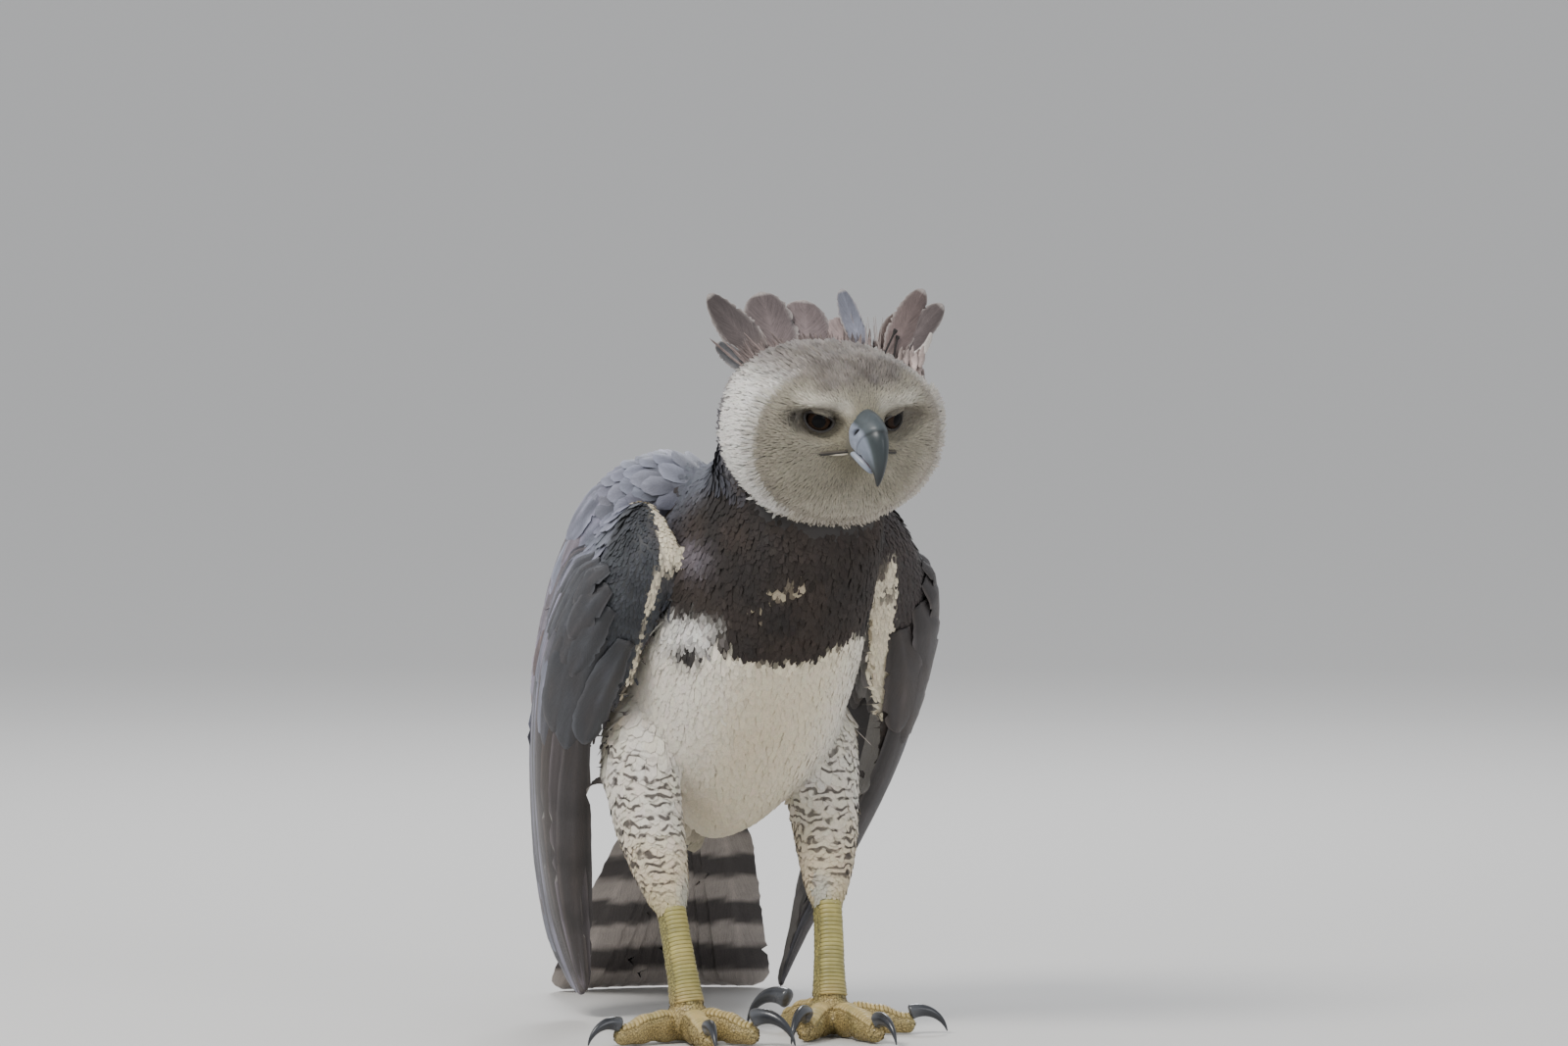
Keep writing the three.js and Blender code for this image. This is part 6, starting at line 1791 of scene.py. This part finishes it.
# eyes: a ball with a bulging clear front, dark iris, black pupil and a dark rim
for side, word in ((1, "left"), (-1, "right")):
    axis, right, upv = eye_frame(side)
    centre = EYE_AT * (side, 1, 1)

    def ball(t, a):
        th = t * PI
        bulge = 1.5 * np.exp(-((th / 0.62) ** 4))
        r = EYE_RADIUS - 0.6 + bulge
        q = (axis * (np.cos(th) * r)[..., None] + right * (np.sin(th) * np.cos(a) * r)[..., None] + upv * (np.sin(th) * np.sin(a) * r)[..., None])
        return head_out(centre + q)

    p, faces, t, a = grid(ball, 64, 72)
    th = np.degrees(t * PI)
    rays = 0.5 + 0.5 * np.sin(a * 37 + 3 * np.sin(a * 5)) * np.sin(a * 23 + 1)
    iris = blend(np.array([0.018, 0.0105, 0.0075])[None], np.array([0.034, 0.019, 0.012])[None], np.clip(rays * 0.6 + smooth(th, 22, 34) * 0.3, 0, 1))
    col = blend(np.array([0.002, 0.002, 0.0025])[None], iris, smooth(th, 23, 26))
    col = blend(col, np.array([0.006, 0.004, 0.004]), smooth(th, 41, 45))
    col = blend(col, np.array([0.10, 0.075, 0.065]), smooth(th, 56, 66))
    solid("eyeball_" + word, p, outward(p, faces), col, EYE, ("eye_" + word,))

    # lids: a fleshy rim round the opening, heavier above
    around, ring = 72, 14
    A, B = np.meshgrid(np.arange(around) * 2 * PI / around, np.arange(ring) * 2 * PI / ring, indexing="ij")
    ex, ez = opening(A)
    radial = np.hypot(ex, ez)
    depth = np.sqrt(np.maximum((EYE_RADIUS + 0.3) ** 2 - radial ** 2, 1.0))
    over = 0.5 + 0.5 * np.sin(A)
    thick = 1.0 + 0.9 * over + 0.15 * np.sin(A * 26) * (0.4 + over)
    wide = 1.25 + 0.75 * over
    k = 1 + (wide * np.cos(B) + wide * 0.75) / np.maximum(radial, 1)
    fold = 0.45 * np.sin(B * 2) * over
    q = (right * (ex * k)[..., None] + upv * (ez * k)[..., None] + axis * (depth - 0.35 * wide * (np.cos(B) + 0.8) * (radial / EYE_RADIUS) + (thick + fold) * np.sin(B))[..., None])
    p = head_out(centre + q).reshape(-1, 3)
    i = np.arange(around * ring).reshape(around, ring)
    q4 = np.stack([i, np.roll(i, -1, 0), np.roll(np.roll(i, -1, 0), -1, 1), np.roll(i, -1, 1)], -1).reshape(-1, 4)
    faces = outward(p - p.mean(0), [tuple(x) for x in q4])
    cB = np.cos(B).ravel()
    col = blend(np.array([0.014, 0.012, 0.011])[None], np.array([0.048, 0.040, 0.033])[None], smooth(cB, -0.2, 0.95)) * (1 + 0.2 * noise(p, 2.2, 97))[:, None]
    solid("lids_" + word, p, faces, col, FLESH)

    # gape: two thin lips that run back from the bill under the eye
    s = np.linspace(0, 1, 40)
    for which, (dz, rad, shade) in enumerate(((1.5, 1.0, np.array([0.050, 0.040, 0.028])), (-1.7, 1.25, np.array([0.40, 0.36, 0.28])), (0.0, 1.1, np.array([0.008, 0.006, 0.005])))):
        x, y, z = gape_line(s, side)
        q = head_out(np.stack([x, y, z + dz * lerp(1.0, 0.45, s)], -1))
        on, nn, _ = nearest(skin_tree, q)
        on = on + nn * 1.2
        on[0] = on[0] * 0.5 + q[0] * 0.5
        on = np.stack([np.polyval(np.polyfit(s, on[:, k], 3), s) for k in range(3)], -1)
        nn = unit(np.stack([np.polyval(np.polyfit(s, nn[:, k], 2), s) for k in range(3)], -1))
        tan = unit(np.gradient(on, axis=0))
        b1 = unit(nn - tan * dot(nn, tan))
        b2 = np.cross(tan, b1)
        rr = rad * np.sqrt(np.clip(1 - (2 * s - 1) ** 6, 0.02, 1)) * (lerp(1.15, 0.12, smooth(s, 0.35, 0.75)) if which == 1 else lerp(0.9, 1.5, s))
        B = np.arange(10) * 2 * PI / 10
        ringp = on[:, None] + b1[:, None] * (np.sin(B) * rr[:, None])[..., None] + b2[:, None] * (np.cos(B) * rr[:, None])[..., None]
        p = np.concatenate([ringp.reshape(-1, 3), on[:1], on[-1:]])
        i = np.arange(40 * 10).reshape(40, 10)
        q4 = np.stack([i[:-1], i[1:], np.roll(i, -1, 1)[1:], np.roll(i, -1, 1)[:-1]], -1).reshape(-1, 4)
        faces = [tuple(x) for x in q4] + [(400, int(i[0, k]), int(i[0, (k + 1) % 10])) for k in range(10)] + [(401, int(i[-1, (k + 1) % 10]), int(i[-1, k])) for k in range(10)]
        solid(f"gape_{word}_{which}", p, outward(p, faces), np.tile(shade, (len(p), 1)) * (1 + 0.15 * noise(p, 3, 98))[:, None], FLESH)


# ---------------------------------------------------------------- claws
def claw(side, name):
    heading, length, root, reach, thick = TOES[name]
    ang = math.radians(heading)
    way = np.array([side * math.sin(ang), -math.cos(ang), 0.0])
    start = np.array([*FOOT_AT[side], 0.0]) + way * (length - 5)
    bow = reach / 1.75
    def centre(t):
        q = 0.42 - 1.75 * t
        return bow * (math.sin(0.42) - np.sin(q)), bow * (np.cos(q) - math.cos(0.42))
    tt = np.linspace(0, 1, 60)
    radius = lambda t: thick * (1 - 0.93 * np.power(t, 1.15))
    x, z = centre(tt)
    base = thick * 0.78 + 4
    rise = max(0.0, 1.2 - float((z + base - radius(tt)).min()))
    def f(t, a):
        x, z = centre(t)
        q = 0.42 - 1.75 * t
        tan = way * np.cos(q)[..., None] + np.array([0, 0, 1.0]) * np.sin(q)[..., None]
        across = np.cross((0, 0, 1.0), way)
        up = np.cross(tan, across)
        c, n = np.cos(a), np.sin(a)
        r = radius(t) * dome(np.maximum(t, 0) * 1.0, 0.06)
        r = np.where(t > 0.5, radius(t), r) * np.where(t >= 1 - 1e-9, 0.2, 1)
        groove = 1 - 0.16 * np.exp(-(((np.abs(n) - 0.86) / 0.14) ** 2)) * (c < 0)
        return (start + way * x[..., None] + np.array([0, 0, 1.0]) * (z + base + rise)[..., None]
                + across * (r * n * 0.84 * groove)[..., None] + up * (r * c)[..., None])
    p, faces, t, a = grid(f, 32, 60)
    p[:, 2] = np.maximum(p[:, 2], 0.3)
    col = blend(np.array([0.075, 0.080, 0.090])[None], np.array([0.018, 0.020, 0.025])[None], smooth(t, 0.0, 0.35))
    col = blend(col, np.array([0.045, 0.048, 0.055]), smooth(t, 0.85, 1.0) * 0.5)
    return p, outward(p, faces), col * (1 + 0.18 * noise(p, 5, 99))[:, None], np.stack([t, a / (2 * PI)], -1)


for side, word in ((1, "left"), (-1, "right")):
    for name in TOES:
        p, faces, col, uv = claw(side, name)
        solid(f"talon_{name}_{word}", p, faces, col, CLAW, (f"claw_{name}_{word}",), uv)


# ---------------------------------------------------------------- scutes of the legs
def plates(surface, t_edges, a_low, a_high, n_a=9, n_t=6, lift=0.9, sink=0.8, lap=0.25, seed=0):
    """Broad plates across a limb, each domed and lapping over the next."""
    P, F, C, base = [], [], [], 0
    rng = np.random.default_rng(seed)
    for k in range(len(t_edges) - 1):
        t0, t1 = t_edges[k], t_edges[k + 1]
        span = t1 - t0
        shift = rng.uniform(-0.06, 0.06)
        s, w = np.meshgrid(np.linspace(0, 1, n_t), np.linspace(-1, 1, n_a), indexing="ij")
        mid, halfw = (a_low + a_high) / 2 + shift, (a_high - a_low) / 2 * rng.uniform(0.95, 1.03)
        t = t0 + span * (s * (1 + lap) - lap * 0.3) + span * 0.16 * w ** 2
        edge = (1 - np.abs(2 * s - 1) ** 5) * (1 - np.abs(w) ** 7)
        a = mid + halfw * w * (1 - 0.1 * np.abs(2 * s - 1) ** 3)
        g = -0.5 + (lift + 0.5) * np.clip(edge, 0, 1) ** 0.5 + 0.4 * lift * s * edge
        top = surface(np.clip(t, 0.01, 0.99), a, g)
        bot = surface(np.clip(t, 0.01, 0.99), a, -sink + 0 * g)
        i = np.arange(n_t * n_a).reshape(n_t, n_a)
        q = np.stack([i[:-1, :-1], i[:-1, 1:], i[1:, 1:], i[1:, :-1]], -1).reshape(-1, 4)
        m = n_t * n_a
        ring = list(i[0, :]) + list(i[1:, -1]) + list(i[-1, -2::-1]) + list(i[-2:0:-1, 0])
        sides = np.array([(ring[(j + 1) % len(ring)], ring[j], ring[j] + m, ring[(j + 1) % len(ring)] + m) for j in range(len(ring))])
        p = np.concatenate([top.reshape(-1, 3), bot.reshape(-1, 3)])
        faces = np.concatenate([q, q[:, ::-1] + m, sides])
        if (outward(p - p.mean(0), [tuple(x) for x in faces])[0] != tuple(faces[0])):
            faces = faces[:, ::-1]
        P.append(p)
        F.append(faces + base)
        tone = leg_colour(p) * rng.uniform(0.9, 1.12)
        rimc = np.concatenate([edge.ravel(), edge.ravel() * 0])
        C.append(blend(tone * 0.72, tone * 1.03, smooth(rimc, 0.05, 0.6)))
        base += len(p)
    return np.concatenate(P), np.concatenate(F), np.concatenate(C)


def grown(f):
    """A limb's surface pushed out by a different distance at each place."""
    def g(t, a, grow):
        a0, a1 = f(t, a, 0.0), f(t, a, 1.0)
        return a0 + (a1 - a0) * np.asarray(grow)[..., None]
    return g


for side, word in ((1, "left"), (-1, "right")):
    P, F, C, base = [], [], [], 0
    tarsus_f = grown(lambda t, a, g, s=side: limb(tarsus_rows(s), t, a, g, 0.1))
    jobs = [(tarsus_f, np.linspace(0.30, 0.93, 25), -1.0, 1.0, 13), (tarsus_f, np.linspace(0.27, 0.90, 23), PI - 0.75, PI + 0.75, 11)]
    for name in TOES:
        toe_f = grown(lambda t, a, g, s=side, name=name: toe(s, name, t, a, g))
        count = int(TOES[name][1] / 5.2)
        jobs.append((toe_f, np.linspace(0.22, 0.93, count), -0.95, 0.95, 11))
    for j, (f, edges, lo, hi, cols) in enumerate(jobs):
        p, faces, col = plates(f, edges, lo, hi, cols, 7, 0.15 if j < 2 else 0.8, lap=-0.04 if j >= 2 else 0.05, seed=300 + j)
        P.append(p)
        F.append(faces + base)
        C.append(col)
        base += len(p)
    p, col = np.concatenate(P), np.concatenate(C)
    p[:, 2] = np.maximum(p[:, 2], 0.4)
    solid("scutes_" + word, p, np.concatenate(F), col, SCALE)


def on_leg(p, lab, sid):
    k = is_(lab, "tarsus", "foot") & (p[:, 2] > 2.5)
    return k * 1.0


r = scatter(on_leg, lambda p: lerp(2.5, 3.3, smooth(p[:, 2], 20, 60)), 401, 22000)
size = lerp(3.3, 4.4, smooth(r.p[:, 2], 20, 60))
p, f, vane, sx, w, under = build_vanes(r, size, size * 0.92, ([0.22, 0.62, 0.92], [0.8, 1.0, 0.55], 3), 0.55, 403, sink=0.5, yaw=12, camber=0.35, power=0.45, hug=False)
p[:, 2] = np.maximum(p[:, 2], 0.35)
rng = np.random.default_rng(404)
col = leg_colour(r.p) * (1 + rng.normal(0, 0.08, (len(r), 1)))
col = col[vane] * lerp(0.55, 1.05, smooth(sx, 0.0, 0.5) * smooth(np.abs(w), 1.05, 0.6))[:, None]
ob = solid("scales_small", p, f, col, SCALE, (), np.stack([w * 0.5 + 0.5, sx], -1))
flat = unwrap(r.p, "leg")
uv_map(ob, flat[vane] + np.stack([w * 0.5, sx - 0.5], -1) * 0.003, "OFBake")
print("scales", len(r), len(f))


# ---------------------------------------------------------------- floor, light and camera
def area(name, at, aim, size, watts, colour):
    light = bpy.data.lights.new(name, "AREA")
    light.shape, light.size, light.energy, light.color = "DISK", size, watts, colour
    ob = bpy.data.objects.new(name, light)
    ob.location = at
    ob.rotation_euler = (Vector(aim) - Vector(at)).to_track_quat("-Z", "Y").to_euler()
    bpy.context.scene.collection.objects.link(ob)


floor_p = [(-120, -40, -0.0006), (120, -40, -0.0006), (120, 400, -0.0006), (-120, 400, -0.0006)]
floor = mesh_object("floor", floor_p, [(0, 1, 2, 3)], False)
mat, nodes, links = node_material("floor_pale")
bsdf = nodes["Principled BSDF"]
bsdf.inputs["Base Color"].default_value = (0.62, 0.61, 0.59, 1)
bsdf.inputs["Roughness"].default_value = 0.85
floor.data.materials.append(mat)
floor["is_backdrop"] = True

world = bpy.data.worlds.new("studio")
bpy.context.scene.world = world
world.use_nodes = True
world.node_tree.nodes["Background"].inputs["Color"].default_value = (0.86, 0.88, 0.92, 1)
world.node_tree.nodes["Background"].inputs["Strength"].default_value = 0.85
area("key", (-2.5, -1.7, 3.4), (0, 0, 0.42), 1.4, 150, (1.0, 0.975, 0.94))
area("fill", (1.6, -4.2, 1.9), (0, 0, 0.4), 2.0, 40, (0.95, 0.97, 1.0))
area("rim", (1.2, 2.8, 2.6), (0, 0, 0.5), 1.4, 70, (0.95, 0.97, 1.0))

cam_data = bpy.data.cameras.new("camera")
cam_data.lens, cam_data.sensor_width = 250, 36
cam_data.clip_end = 1000
camera = bpy.data.objects.new("camera", cam_data)
camera.location = (-3.4769, -9.6622, 1.0685)
camera.rotation_euler = (Vector((0.0371, -0.0693, 0.4799)) - Vector(camera.location)).to_track_quat("-Z", "Y").to_euler()
bpy.context.scene.collection.objects.link(camera)
bpy.context.scene.camera = camera

as_list = lambda box: [[float(x) for x in corner] for corner in box]
{"cad_box": as_list(cad_box), "visual_box": as_list(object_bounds())}
